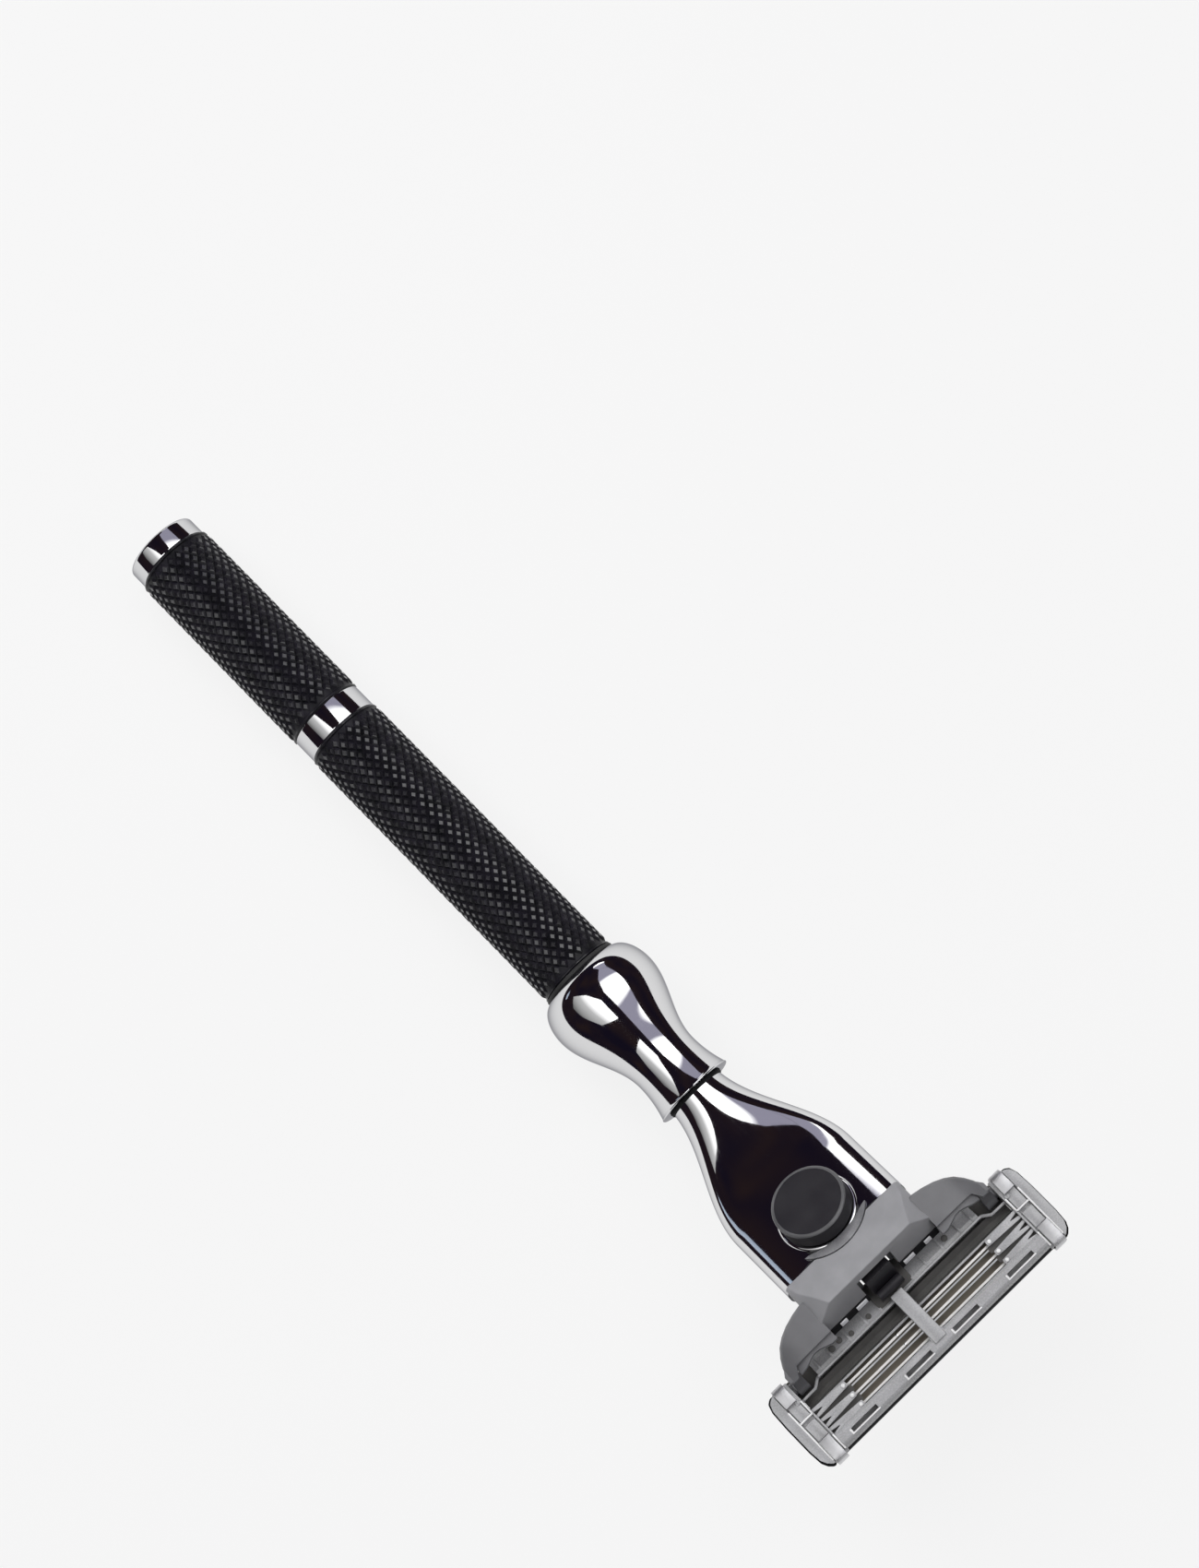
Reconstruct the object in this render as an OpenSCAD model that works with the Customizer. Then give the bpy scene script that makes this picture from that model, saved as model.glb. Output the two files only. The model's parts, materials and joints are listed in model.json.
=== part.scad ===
// Cartridge razor: a turned metal handle, a flattened curved head with a sliding
// release button, and a three-blade cartridge that tilts on two arms.
// Millimetres. +Y runs along the handle from the end cap to the cartridge, +Z is the
// button side, X is across. The origin is the centre of the end cap's flat end.

/* [Handle] */
// Radius of both knurled grips
grip_r = 5.25; // [5.1:0.05:5.4]
// Radius of the polished end cap
cap_r = 4.97; // [4.7:0.01:5.05]
// Length of the polished end cap
cap_len = 2.75; // [2.5:0.05:3.2]
// Radius of the polished ring between the two grips
ring_r = 5.08; // [4.8:0.01:5.2]
// Length of the polished ring
ring_len = 3.25; // [2.5:0.05:4]
// Length of the short rear grip
rear_grip_len = 27.9; // [24:0.1:29]
// Length of the long front grip
front_grip_len = 42.0; // [38:0.1:43]
// Largest radius of the bulb
bulb_r = 7.5; // [7:0.1:8]
// Radius of the neck's waist
waist_r = 4.43; // [4.2:0.01:4.6]
// Radius of the neck's flared rim
rim_r = 5.28; // [5:0.01:5.6]

/* [Head] */
// Angle that the head rises to, from the handle
head_rise = 30; // [28:1:30]
// Radius of the bend in the head
bend_r = 34; // [33:0.5:35]
// Half width of the head at the button
head_half_w = 9.35; // [9.2:0.05:9.6]
// Half thickness of the head at the button
head_half_h = 2.7; // [2.7:0.05:2.9]
// Wall of the polished shell
shell_wall = 0.85; // [0.8:0.05:0.9]
// Radius of the release button
button_r = 4.65; // [4:0.05:4.8]
// Height of the release button above the shell
button_h = 2.8; // [2:0.1:3.5]

/* [Cartridge] */
// Half length of the blade unit
unit_half = 20.2; // [20:0.1:21]
// Depth of the blade unit ahead of its pivot, to the cap edge
unit_ahead = 9.6; // [9.6:0.1:10]
// Depth of the blade unit behind its pivot
unit_behind = 1.2; // [1.15:0.05:1.3]
// Half thickness of the blade unit
unit_half_t = 2.2; // [2.2:0.05:2.3]
// Radius of the pivot pins on the arms
pivot_r = 0.8; // [0.7:0.05:0.8]
// Spacing of the blades
blade_pitch = 1.4; // [1.3:0.05:1.4]

/* [Hidden] */
$fn = 64;
eps = 0.01;
gap = 0.05;

// Stations along the handle
rear_grip_y = cap_len;
ring_y = rear_grip_y + rear_grip_len;
front_grip_y = ring_y + ring_len;
gasket_y = front_grip_y + front_grip_len;
gasket_len = 0.52;
neck_y = gasket_y + gasket_len;
bulb_back_len = 4.1;
bulb_y = neck_y + bulb_back_len;
waist_y = bulb_y + 10.7;
rim_y = waist_y + 5.0;

// Inside the handle
core_r = 3.2;
rod_r = 1.5;
rod_start_y = 2.2;
rod_end_y = neck_y + 8.5;
spigot_len = 3.7;
washer_len = 0.5;
seal_major_r = 3.65;
seal_minor_r = 0.34;
stud_r = 2.4;
stud_y = rim_y - 6.8;
collar_mouth_r = 4.1;
collar_mouth_len = 1.2;

// Head: a bend from the handle's line up to head_rise, then a straight tongue.
// On the tongue, a runs along it from the end of the bend and b is the height above it.
bend_y = rim_y + 0.8;
bend_len = bend_r * head_rise * PI / 180;
tongue_y = bend_y + bend_r * sin(head_rise);
tongue_z = bend_r * (1 - cos(head_rise));
shell_end_a = 9.9;
head_start = -1.2;
head_steps = 18;
head_sides = 32;
head_base_r = 3.75;
split_b = -0.6;
split_gap = 0.05;
shell_floor = 2.0;
boss_r = 6.15;
boss_a = 5.5;
boss_top = head_half_h + 0.2;
button_a = 5.6;
button_bottom = boss_top + 0.2;
button_top = boss_top + button_h;
button_travel = 1.5;
stem_half = 1.5;
slot_end_gap = 0.2;
tongue_half_w = 7.5;
tongue_low = -1.4;
tongue_high = 1.6;
tongue_end_a = 14.9;
channel_half = 2.15;
channel_floor = -1.3;
pocket_floor = 0.65;
pocket_half = 5.6;
carriage_half = 5.2;
carriage_low = 0.75;
carriage_high = 1.55;
carriage_a = [3.4, 8.6];
finger_x = [3.2, 5.0];
finger_end_a = 12.6;
bridge_a = [12.3, 13.0];
cover_screw_x = 7.0;
cover_screw_a = 7.6;
screw_r = 0.5;
screw_head_r = 1.0;

// Plunger and springs on the tongue
plunger_half = 1.9;
plunger_low = -1.2;
plunger_high = 0.3;
plunger_back_a = 7.4;
spring_mid_b = -0.4;
plunger_spring_r = 0.62;
plunger_wire_r = 0.14;
button_spring_r = 0.38;
button_wire_r = 0.09;
button_spring_b = 1.12;
spring_seat_a = 1.8;

// Yoke
block_half_w = 9.1;
block_a = [10.25, 15.9];
block_b = [-2.5, boss_top];
cavity_half_w = 7.8;
cavity_b = [-1.6, 1.8];
cavity_end_a = 15.0;
notch_r = 6.35;
pocket_half_w = 2.7;
foot_low = -2.9;
foot_a = 15.0;

// Pivot of the blade unit, and the cam that the plunger pushes
pivot_y = tongue_y + 16.2;
pivot_z = tongue_z + 3.45;
arm_x = [14.6, 16.2];
arm_r = 1.2;
pin_end_x = 18.3;
cam_r = 0.6;
cam_reach = 2.8;
cam_angle = 100;
cam_y = cam_reach * cos(cam_angle);
cam_z = cam_reach * sin(cam_angle);
cam_gap = 0.1;
cam_half = 1.8;
cam_a = (pivot_y + cam_y - tongue_y) * cos(head_rise) + (pivot_z + cam_z - tongue_z) * sin(head_rise);
plunger_tip_a = cam_a - cam_r - cam_gap;

// Blade unit, measured from its pivot: y towards the cap edge, z towards the back
end_in = 16.6;
end_round = 0.9;
cap_bar_y = 7.3;
guard_half = 14.4;
guard_y = [-0.6, 1.6];
rail_y = [1.4, 2.3];
rib_half = 1.1;
finger_tip_x = 11.5;
finger_half = 0.36;
finger_z = [0.9, 1.6];
pocket_x = 18.2;
pocket_top = 0.8;
slot_len = 4.0;
slot_w = 0.45;
slot_x = [3.8, 12.7];
slot_y = 8.3;
clip_x = [17.0, 18.6];
clip_t = 0.3;
clip_fold_back = 3.2;
clip_fold_front = 2.4;
blade_x = 17.9;
first_blade_y = 4.1;
support_t = 0.28;
support_top = 0.45;
support_knee = -0.75;
blade_slope = 30;
support_land = 1.25;
blade_start = 0.25;
blade_tip = 1.75;
blade_t = 0.1;
fin_count = 5;

// ---------- shared shapes ----------

// Solid of revolution about the handle's axis; points are [radius, y]
module turned(points) rotate([-90, 0, 0]) rotate_extrude() polygon(points);

// Tube along the handle
module tube(r_out, r_in, y0, y1) turned([[r_in, y0], [r_out, y0], [r_out, y1], [r_in, y1]]);

// Rod along the handle
module rod(r, y0, y1) translate([0, y0, 0]) rotate([-90, 0, 0]) cylinder(r = r, h = y1 - y0);

// Rod across the razor, between two x stations
module cross_rod(r, x0, x1) translate([x0, 0, 0]) rotate([0, 90, 0]) cylinder(r = r, h = x1 - x0);

// Box from its lower and upper corners
module box(low, high) translate(low) cube(high - low);

// Prism along x of a flat outline given as [y, z]
module prism_x(x0, x1) translate([x0, 0, 0]) rotate([90, 0, 90]) linear_extrude(x1 - x0) children();

// Rectangle with round corners
module round_rect(low, high, r) {
  translate([low.x + r, low.y]) square([high.x - low.x - 2 * r, high.y - low.y]);
  translate([low.x, low.y + r]) square([high.x - low.x, high.y - low.y - 2 * r]);
  for (x = [low.x + r, high.x - r], y = [low.y + r, high.y - r]) translate([x, y]) circle(r);
}

// Places children in the tongue's frame: y is a, z is b
module on_tongue() translate([0, tongue_y, tongue_z]) rotate([head_rise, 0, 0]) children();

// Places children in the blade unit's frame
module on_unit() translate([0, pivot_y, pivot_z]) children();

// Keeps a smooth shell as one closed surface, at its own size
module one_surface() resize([0, 0, 0]) children();

// Both sides of the razor
module both_sides() {
  children();
  mirror([1, 0, 0]) children();
}

// Coil spring along y, as a swept round wire
module coil(r, wire, length, turns) {
  per_turn = 14;
  sides = 6;
  steps = turns * per_turn;
  run = length - 2 * wire;
  points = [for (i = [0:steps], k = [0:sides - 1])
    let (turn = 360 * i / per_turn, spin = 360 * k / sides, reach = r + wire * cos(spin))
      [reach * cos(turn), wire + run * i / steps + wire * sin(spin), -reach * sin(turn)]];
  walls = [for (i = [0:steps - 1], k = [0:sides - 1])
    let (next = (k + 1) % sides, low = i * sides, high = low + sides)
      [low + k, low + next, high + next, high + k]];
  first = [for (k = [sides - 1:-1:0]) k];
  last = [for (k = [0:sides - 1]) steps * sides + k];
  polyhedron(points, concat([first], walls, [last]));
}

// ---------- head surface ----------

function smooth(t) = let (c = min(max(t, 0), 1)) c * c * (3 - 2 * c);
function power(v, p) = sign(v) * pow(abs(v), p);

// Middle line of the head by distance s from the start of the bend: [y, z, slope]
function head_line(s) =
  s < 0 ? [bend_y + s, 0, 0] :
  s < bend_len ? let (phi = s / bend_r * 180 / PI)
    [bend_y + bend_r * sin(phi), bend_r * (1 - cos(phi)), phi] :
  let (a = s - bend_len)
    [tongue_y + a * cos(head_rise), tongue_z + a * sin(head_rise), head_rise];

function head_w(y) = head_base_r + (head_half_w - head_base_r) * smooth((y - rim_y + 0.7) / 18);
function head_h(y) = head_base_r + (head_half_h - head_base_r) * smooth((y - bend_y) / 15);
function head_n(y) = 2 + 0.9 * smooth((y - bend_y) / 15);

// One ring of the head, inset from its surface and kept between two heights
function head_ring(s, inset, low, high) =
  let (line = head_line(s), w = head_w(line.x) - inset, h = head_h(line.x) - inset,
       p = 2 / head_n(line.x))
  [for (k = [0:head_sides - 1])
    let (turn = 360 * k / head_sides,
         b = min(max(h * power(sin(turn), p), low), high))
      [w * power(cos(turn), p), line.x - b * sin(line.z), line.y + b * cos(line.z)]];

// Solid between two stations of the head
module head_loft(s0, s1, inset, low = -9, high = 9) {
  rings = [for (i = [0:head_steps]) head_ring(s0 + (s1 - s0) * i / head_steps, inset, low, high)];
  points = [for (ring = rings) each ring];
  walls = [for (i = [0:head_steps - 1], k = [0:head_sides - 1])
    let (next = (k + 1) % head_sides, low_i = i * head_sides, high_i = low_i + head_sides)
      [low_i + k, low_i + next, high_i + next, high_i + k]];
  first = [for (k = [head_sides - 1:-1:0]) k];
  last = [for (k = [0:head_sides - 1]) head_steps * head_sides + k];
  polyhedron(points, concat([first], walls, [last]));
}

// ---------- handle ----------

module end_cap() color("gainsboro") difference() {
  edge = 0.45;
  turned([[0, 0], [cap_r - edge, 0], [cap_r, edge], [cap_r, cap_len - edge / 2],
          [cap_r - edge / 2, cap_len], [core_r - gap, cap_len],
          [core_r - gap, cap_len + spigot_len], [0, cap_len + spigot_len]]);
  rod(rod_r + gap, rod_start_y - gap, cap_len + spigot_len + eps);
}

module cap_seal() color("black") rotate([-90, 0, 0])
  rotate_extrude() translate([seal_major_r, cap_len + seal_minor_r + gap]) circle(seal_minor_r);

module rear_grip() color([0.12, 0.12, 0.14]) difference() {
  tube(grip_r, core_r, rear_grip_y, ring_y);
  rod(seal_major_r + seal_minor_r + gap, rear_grip_y - eps, rear_grip_y + 2 * seal_minor_r + 2 * gap);
}

module middle_ring() color("gainsboro") tube(ring_r, core_r, ring_y, front_grip_y);

module front_grip() color([0.12, 0.12, 0.14]) tube(grip_r, core_r, front_grip_y, gasket_y);

module core_weight() color("slategray")
  tube(core_r - gap, rod_r + 2 * gap, cap_len + spigot_len + washer_len, gasket_y);

module tie_rod() color("silver") rod(rod_r, rod_start_y, rod_end_y);

module rod_washer() color("silver")
  tube(core_r - 4 * gap, rod_r + 2 * gap, cap_len + spigot_len, cap_len + spigot_len + washer_len);

module neck_gasket() color("black") tube(grip_r + gap, rod_r + 2 * gap, gasket_y, neck_y);

module neck() color("gainsboro") {
  back = [for (t = [0:10:90]) [grip_r - gap + (bulb_r - grip_r + gap) * sin(t), bulb_y - bulb_back_len * cos(t)]];
  front = [for (i = [1:14])
    let (t = i / 14) [waist_r + (bulb_r - waist_r) * (1 + cos(180 * t)) / 2, bulb_y + (waist_y - bulb_y) * t]];
  flare = [for (i = [1:6])
    let (t = i / 6) [waist_r + (rim_r - waist_r) * t * t, waist_y + (rim_y - waist_y) * t]];
  difference() {
    turned(concat([[0, neck_y]], back, front, flare, [[0, rim_y]]));
    rod(rod_r + gap, neck_y - eps, rod_end_y + 4 * gap);
    rod(stud_r + gap, stud_y - 4 * gap, rim_y + eps);
    rod(collar_mouth_r, rim_y - collar_mouth_len, rim_y + eps);
  }
}

// ---------- head ----------

module head_chassis() color("dimgray") {
  core_end = bend_len + shell_end_a - 0.1;
  one_surface() difference() {
    union() {
      rod(stud_r, stud_y, bend_y + 3);
      head_loft(shell_floor + 0.1, core_end, shell_wall + 0.1);
      on_tongue() box([-tongue_half_w, shell_end_a - 0.5, tongue_low], [tongue_half_w, tongue_end_a, tongue_high]);
    }
    on_tongue() {
      box([-channel_half, spring_seat_a, channel_floor], [channel_half, tongue_end_a + 1, pocket_floor + eps]);
      box([-pocket_half, carriage_a[0] - 0.4, pocket_floor], [pocket_half, carriage_a[1] + 2, 4]);
      both_sides() box([finger_x[0] - 0.3, carriage_a[0], pocket_floor], [finger_x[1] + 0.3, tongue_end_a + 1, 4]);
      box([-channel_half, carriage_a[1], pocket_floor - eps], [channel_half, bridge_a[0], 4]);
      box([-channel_half, shell_end_a - 0.2, -4], [channel_half, tongue_end_a + 1, pocket_floor]);
      box([-channel_half, bridge_a[1], -4], [channel_half, tongue_end_a + 1, 4]);
      both_sides() translate([cover_screw_x, cover_screw_a, -4]) cylinder(r = screw_r, h = 4.8);
    }
  }
}

module head_shell() color("gainsboro") one_surface() difference() {
  union() {
    head_loft(head_start, bend_len + shell_end_a, 0, split_b);
    on_tongue() translate([0, boss_a, tongue_high + 0.3]) cylinder(r = boss_r, h = boss_top - tongue_high - 0.3);
  }
  head_loft(shell_floor, bend_len + shell_end_a + 0.5, shell_wall);
  rod(stud_r + gap, head_start + bend_y - 1, bend_y + 3.2);
  on_tongue() {
    slot_a = [button_a - stem_half - slot_end_gap, button_a + stem_half + button_travel + slot_end_gap];
    box([-stem_half - 0.2, slot_a[0], 0], [stem_half + 0.2, slot_a[1], 5]);
  }
}

module front_cover() color("gainsboro") one_surface() difference() {
  head_loft(head_start, bend_len + shell_end_a, 0, -9, split_b - split_gap);
  head_loft(shell_floor, bend_len + shell_end_a + 0.5, shell_wall);
  rod(stud_r + gap, head_start + bend_y - 1, bend_y + 3.2);
  on_tongue() both_sides() translate([cover_screw_x, cover_screw_a, -4]) {
    cylinder(r = screw_r + gap, h = 4);
    cylinder(r = screw_head_r + gap, h = 4 - head_half_h + 0.55);
  }
}

module cover_screws() color("silver") on_tongue() both_sides()
  translate([cover_screw_x, cover_screw_a, 0]) difference() {
    union() {
      translate([0, 0, -2.2]) cylinder(r = screw_r, h = 2.9);
      translate([0, 0, -2.55]) cylinder(r = screw_head_r, h = 0.4);
    }
    translate([0, 0, -2.7]) cylinder(r = 0.45, h = 0.35, $fn = 6);
  }

module release_button() color([0.13, 0.13, 0.15]) on_tongue() difference() {
  union() {
    edge = 0.4;
    translate([0, button_a, 0]) rotate_extrude() polygon([
      [0, button_bottom], [button_r, button_bottom], [button_r, button_top - edge - 0.2],
      [button_r - edge * 0.3, button_top - edge * 0.3 - 0.2], [button_r - edge, button_top - 0.2],
      [button_r / 2, button_top - 0.05], [0, button_top]]);
    translate([0, button_a, 0]) box([-stem_half, -stem_half, carriage_high], [stem_half, stem_half, button_bottom + eps]);
  }
  translate([0, button_a, carriage_high - eps]) cylinder(r = screw_r, h = 2);
}

module button_carriage() color("dimgray") on_tongue() difference() {
  union() {
    box([-carriage_half, carriage_a[0], carriage_low], [carriage_half, carriage_a[1], carriage_high]);
    both_sides() box([finger_x[0], carriage_a[1] - eps, carriage_low], [finger_x[1], finger_end_a, carriage_high - 0.1]);
  }
  translate([0, button_a, 0]) {
    cylinder(r = screw_r + gap, h = 3);
    cylinder(r = screw_head_r + gap, h = carriage_low + 0.4);
  }
}

module button_screw() color("silver") on_tongue() translate([0, button_a, carriage_low]) {
  cylinder(r = screw_head_r, h = 0.4);
  cylinder(r = screw_r, h = 2.4);
}

module button_spring() color("silver") on_tongue()
  translate([0, carriage_a[1], button_spring_b])
    coil(button_spring_r, button_wire_r, bridge_a[0] - carriage_a[1], 7);

module plunger() color([0.2, 0.2, 0.22]) on_tongue() {
  box([-plunger_half, plunger_back_a, plunger_low], [plunger_half, foot_a + eps, plunger_high]);
  box([-plunger_half, foot_a, foot_low], [plunger_half, plunger_tip_a, plunger_high]);
}

module plunger_spring() color("silver") on_tongue()
  translate([0, spring_seat_a, spring_mid_b])
    coil(plunger_spring_r, plunger_wire_r, plunger_back_a - spring_seat_a, 9);

// ---------- cartridge ----------

// Flat outline of the wings, seen from the button side
module wing_outline() {
  half = [
    [block_half_w - 0.5, 6.9], [block_half_w, 6.9], [10.5, 7.2], [12.0, 7.6], [13.2, 8.1], [14.2, 8.8],
    [15.0, 9.7], [15.6, 10.7], [16.0, 11.8], [arm_x[1], 13.0], [arm_x[1], 13.6], [arm_x[0], 13.6],
    [13.6, 13.5], [10.0, 13.3], [block_half_w - 0.5, 13.3]
  ];
  translate([0, tongue_y + 3.0]) polygon(half);
}

// The same wings seen along the handle: level near the block, falling at the arms
module wing_band() {
  top = 5.2;
  low = 3.4;
  half = [
    [block_half_w - 0.5, top], [11.5, top - 0.2], [14.0, top - 0.8], [15.4, top - 1.7],
    [arm_x[1], top - 2.9], [arm_x[1], 1.0], [arm_x[0], 1.0], [arm_x[0] - 0.2, low],
    [block_half_w - 0.5, low]
  ];
  translate([0, pivot_z]) polygon(half);
}

module connector_yoke() color([0.55, 0.55, 0.57]) {
  difference() {
    union() {
      on_tongue() rotate([90, 0, 0]) translate([0, 0, -block_a[1]]) linear_extrude(block_a[1] - block_a[0])
        round_rect([-block_half_w, block_b[0]], [block_half_w, block_b[1]], 0.8);
      both_sides() intersection() {
        translate([0, 0, pivot_z - 5]) linear_extrude(15) wing_outline();
        rotate([90, 0, 0]) translate([0, 0, -pivot_y - 10]) linear_extrude(30) wing_band();
      }
    }
    on_tongue() {
      box([-cavity_half_w, 0, cavity_b[0]], [cavity_half_w, cavity_end_a, cavity_b[1]]);
      box([-pocket_half_w, block_a[0] - 1, -9], [pocket_half_w, block_a[1] + 9, cavity_b[1] - 0.2]);
      translate([0, boss_a, cavity_b[0]]) cylinder(r = notch_r, h = 9);
    }
  }
  both_sides() on_unit() {
    prism_x(arm_x[0], arm_x[1]) {
      circle(arm_r);
      polygon([[-1.15, 0.3], [-1.5, 1.5], [-1.6, 2.6], [-0.3, 2.6], [0.3, 1.1]]);
    }
    cross_rod(pivot_r, arm_x[1] - eps, pin_end_x);
  }
}

module blade_housing() color([0.5, 0.5, 0.52]) on_unit() difference() {
  union() {
    both_sides() {
      prism_x(end_in, unit_half)
        round_rect([-unit_behind, -unit_half_t], [unit_ahead, unit_half_t], end_round);
      for (k = [0:2])
        box([finger_tip_x, first_blade_y + k * blade_pitch - 0.5 - finger_half, finger_z[0]],
            [end_in + eps, first_blade_y + k * blade_pitch - 0.5 + finger_half, finger_z[1]]);
    }
    prism_x(-end_in - eps, end_in + eps)
      round_rect([cap_bar_y, -1.6], [unit_ahead, unit_half_t], 0.6);
    box([-guard_half, guard_y[0], -2.0], [guard_half, guard_y[1], 1.6]);
    box([-end_in - eps, rail_y[0], -2.0], [end_in + eps, rail_y[1], 0.6]);
    box([-rib_half, guard_y[1] - 0.9, finger_z[0]], [rib_half, cap_bar_y + 0.4, unit_half_t + 0.1]);
    prism_x(-cam_half, cam_half) {
      translate([cam_y, cam_z]) circle(cam_r);
      translate([cam_y + 0.05, 1.2]) square([cam_r - 0.05, cam_z - 1.2]);
    }
  }
  both_sides() cross_rod(pivot_r + gap, end_in - eps, pin_end_x + 0.2);
  both_sides() box([end_in - eps, rail_y[1], -4], [pocket_x, cap_bar_y, pocket_top]);
  both_sides() for (x = slot_x)
    box([x - slot_len / 2, slot_y - slot_w / 2, -4], [x + slot_len / 2, slot_y + slot_w / 2, 4]);
}

module guard_strip() color([0.25, 0.25, 0.27]) on_unit() {
  fin_pitch = (guard_y[1] - guard_y[0] - 0.4) / fin_count;
  box([-guard_half + 0.4, guard_y[0] + 0.1, -2.2], [guard_half - 0.4, guard_y[1] - 0.1, -2.0]);
  for (k = [0:fin_count - 1])
    box([-guard_half + 0.4, guard_y[0] + 0.2 + k * fin_pitch, -2.45],
        [guard_half - 0.4, guard_y[0] + 0.2 + (k + 0.5) * fin_pitch, -2.2 + eps]);
}

module lubricating_strip() color([0.75, 0.8, 0.82]) on_unit() prism_x(-16.2, 16.2)
  round_rect([cap_bar_y + 0.3, -2.35], [unit_ahead - 0.3, -1.6], 0.3);

// Folded metal clip round one end of the blade unit; side is 1 or -1
module clip(side) color("lightgray") on_unit() scale([side, 1, 1]) prism_x(clip_x[0], clip_x[1]) difference() {
  round_rect([-unit_behind - clip_t, -unit_half_t - clip_t], [unit_ahead + clip_t, unit_half_t + clip_t], end_round + clip_t);
  round_rect([-unit_behind, -unit_half_t], [unit_ahead, unit_half_t], end_round);
  translate([clip_fold_front - unit_behind, 0]) square([unit_ahead + unit_behind - clip_fold_front - clip_fold_back, 4]);
}

module clip_left() clip(-1);
module clip_right() clip(1);

// Places a flat outline along the blade's slope, at the knee of support k
module blade_place(k) prism_x(-blade_x, blade_x)
  translate([first_blade_y + k * blade_pitch, support_knee]) children();

module blade_support(k) color("silver") on_unit() blade_place(k) {
  translate([-support_t, -0.1]) square([support_t, support_top - support_knee + 0.1]);
  rotate(180 + blade_slope) square([support_land, support_t]);
}

module blade(k) color("whitesmoke") on_unit() blade_place(k) rotate(180 + blade_slope)
  polygon([[blade_start, support_t], [blade_tip - 0.35, support_t], [blade_tip, support_t + blade_t / 2],
           [blade_tip - 0.35, support_t + blade_t], [blade_start, support_t + blade_t]]);

module blade_support_1() blade_support(0);
module blade_support_2() blade_support(1);
module blade_support_3() blade_support(2);
module blade_1() blade(0);
module blade_2() blade(1);
module blade_3() blade(2);

end_cap();
cap_seal();
rear_grip();
middle_ring();
front_grip();
core_weight();
tie_rod();
rod_washer();
neck_gasket();
neck();
head_chassis();
head_shell();
front_cover();
cover_screws();
release_button();
button_carriage();
button_screw();
button_spring();
plunger();
plunger_spring();
connector_yoke();
blade_housing();
guard_strip();
lubricating_strip();
clip_left();
clip_right();
blade_support_1();
blade_support_2();
blade_support_3();
blade_1();
blade_2();
blade_3();
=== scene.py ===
"""Looks of the cartridge razor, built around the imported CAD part.

Shapes are in millimetres, and MM turns them into metres. Lights, panels and the camera are in metres.
"""
import json
import math

import bmesh
import bpy
from mathutils import Matrix, Vector

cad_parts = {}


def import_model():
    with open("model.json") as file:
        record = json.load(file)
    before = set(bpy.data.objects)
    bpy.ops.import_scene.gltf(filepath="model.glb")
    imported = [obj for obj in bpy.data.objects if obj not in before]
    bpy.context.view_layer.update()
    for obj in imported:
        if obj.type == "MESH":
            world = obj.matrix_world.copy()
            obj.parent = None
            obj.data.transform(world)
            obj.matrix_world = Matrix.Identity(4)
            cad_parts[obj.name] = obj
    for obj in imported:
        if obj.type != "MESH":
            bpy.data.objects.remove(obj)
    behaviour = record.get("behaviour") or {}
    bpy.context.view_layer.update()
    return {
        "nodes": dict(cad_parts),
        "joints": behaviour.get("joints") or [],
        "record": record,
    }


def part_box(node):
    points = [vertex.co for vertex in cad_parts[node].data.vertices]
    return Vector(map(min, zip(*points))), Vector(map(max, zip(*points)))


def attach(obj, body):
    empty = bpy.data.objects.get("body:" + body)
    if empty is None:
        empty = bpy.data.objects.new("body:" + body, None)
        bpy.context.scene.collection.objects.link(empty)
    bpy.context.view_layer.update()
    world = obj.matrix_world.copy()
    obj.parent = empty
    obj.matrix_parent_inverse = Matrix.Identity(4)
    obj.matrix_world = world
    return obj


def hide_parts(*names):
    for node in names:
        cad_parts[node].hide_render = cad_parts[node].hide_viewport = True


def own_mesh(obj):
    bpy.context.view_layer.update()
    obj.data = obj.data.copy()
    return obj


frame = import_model()
scene = bpy.context.scene
scene.view_settings.view_transform = "Standard"
MM = 0.001
X, Y, Z = 0, 1, 2

# ---------------------------------------------------------------- stations, read from the frame


def span(node, axis):
    """Lowest and highest coordinate of a CAD node along an axis, in millimetres."""
    low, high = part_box(node)
    return low[axis] / MM, high[axis] / MM


def joint(name):
    return next(j for j in frame["joints"] if j["name"] == name)


REAR_Y = span("rear_grip", Y)
FRONT_Y = span("front_grip", Y)
RING_Y = span("middle_ring", Y)
NECK_Y = span("neck", Y)
GASKET_Y = span("neck_gasket", Y)
CAP_END_Y = REAR_Y[0]
CAP_R = span("end_cap", X)[1]
RING_R = span("middle_ring", X)[1]
GRIP_R = span("front_grip", X)[1]
BULB_R = span("neck", X)[1]
GASKET_R = span("neck_gasket", X)[1]
HEAD_W = span("head_shell", X)[1]
PIVOT = Vector(joint("blade_pivot")["pos_m"]) / MM
TONGUE_DIR = Vector(joint("button_slide")["axis"])
RISE = math.atan2(TONGUE_DIR.z, TONGUE_DIR.y)

# Design dimensions that no box gives. _A is a place along the tongue, from where the bend ends.
BULB_BACK = 4.1
WAIST_AHEAD = 10.7
RIM_AHEAD = 5.0
WAIST_R = 4.43
RIM_R = 5.28
RIM_Y = NECK_Y[1]
BULB_Y = NECK_Y[0] + BULB_BACK
BEND_Y = RIM_Y + 0.8
BEND_R = 34.0
BEND_LEN = BEND_R * RISE
TONGUE_Y = BEND_Y + BEND_R * math.sin(RISE)
TONGUE_Z = BEND_R * (1 - math.cos(RISE))
HEAD_BASE_R = 3.75
HEAD_H = 2.7
HEAD_START = -1.2
SHELL_END_A = 9.9
HEAD_WALL = 0.8
SHELL_SPLIT, COVER_SPLIT = 0.6, 0.65
BOSS_A = 5.5
BOSS_R = 5.15
BOSS_TOP = 2.9
BOSS_FOOT = 1.95
BOSS_BORE_R = 2.4
LIP_R = 6.2
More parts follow.
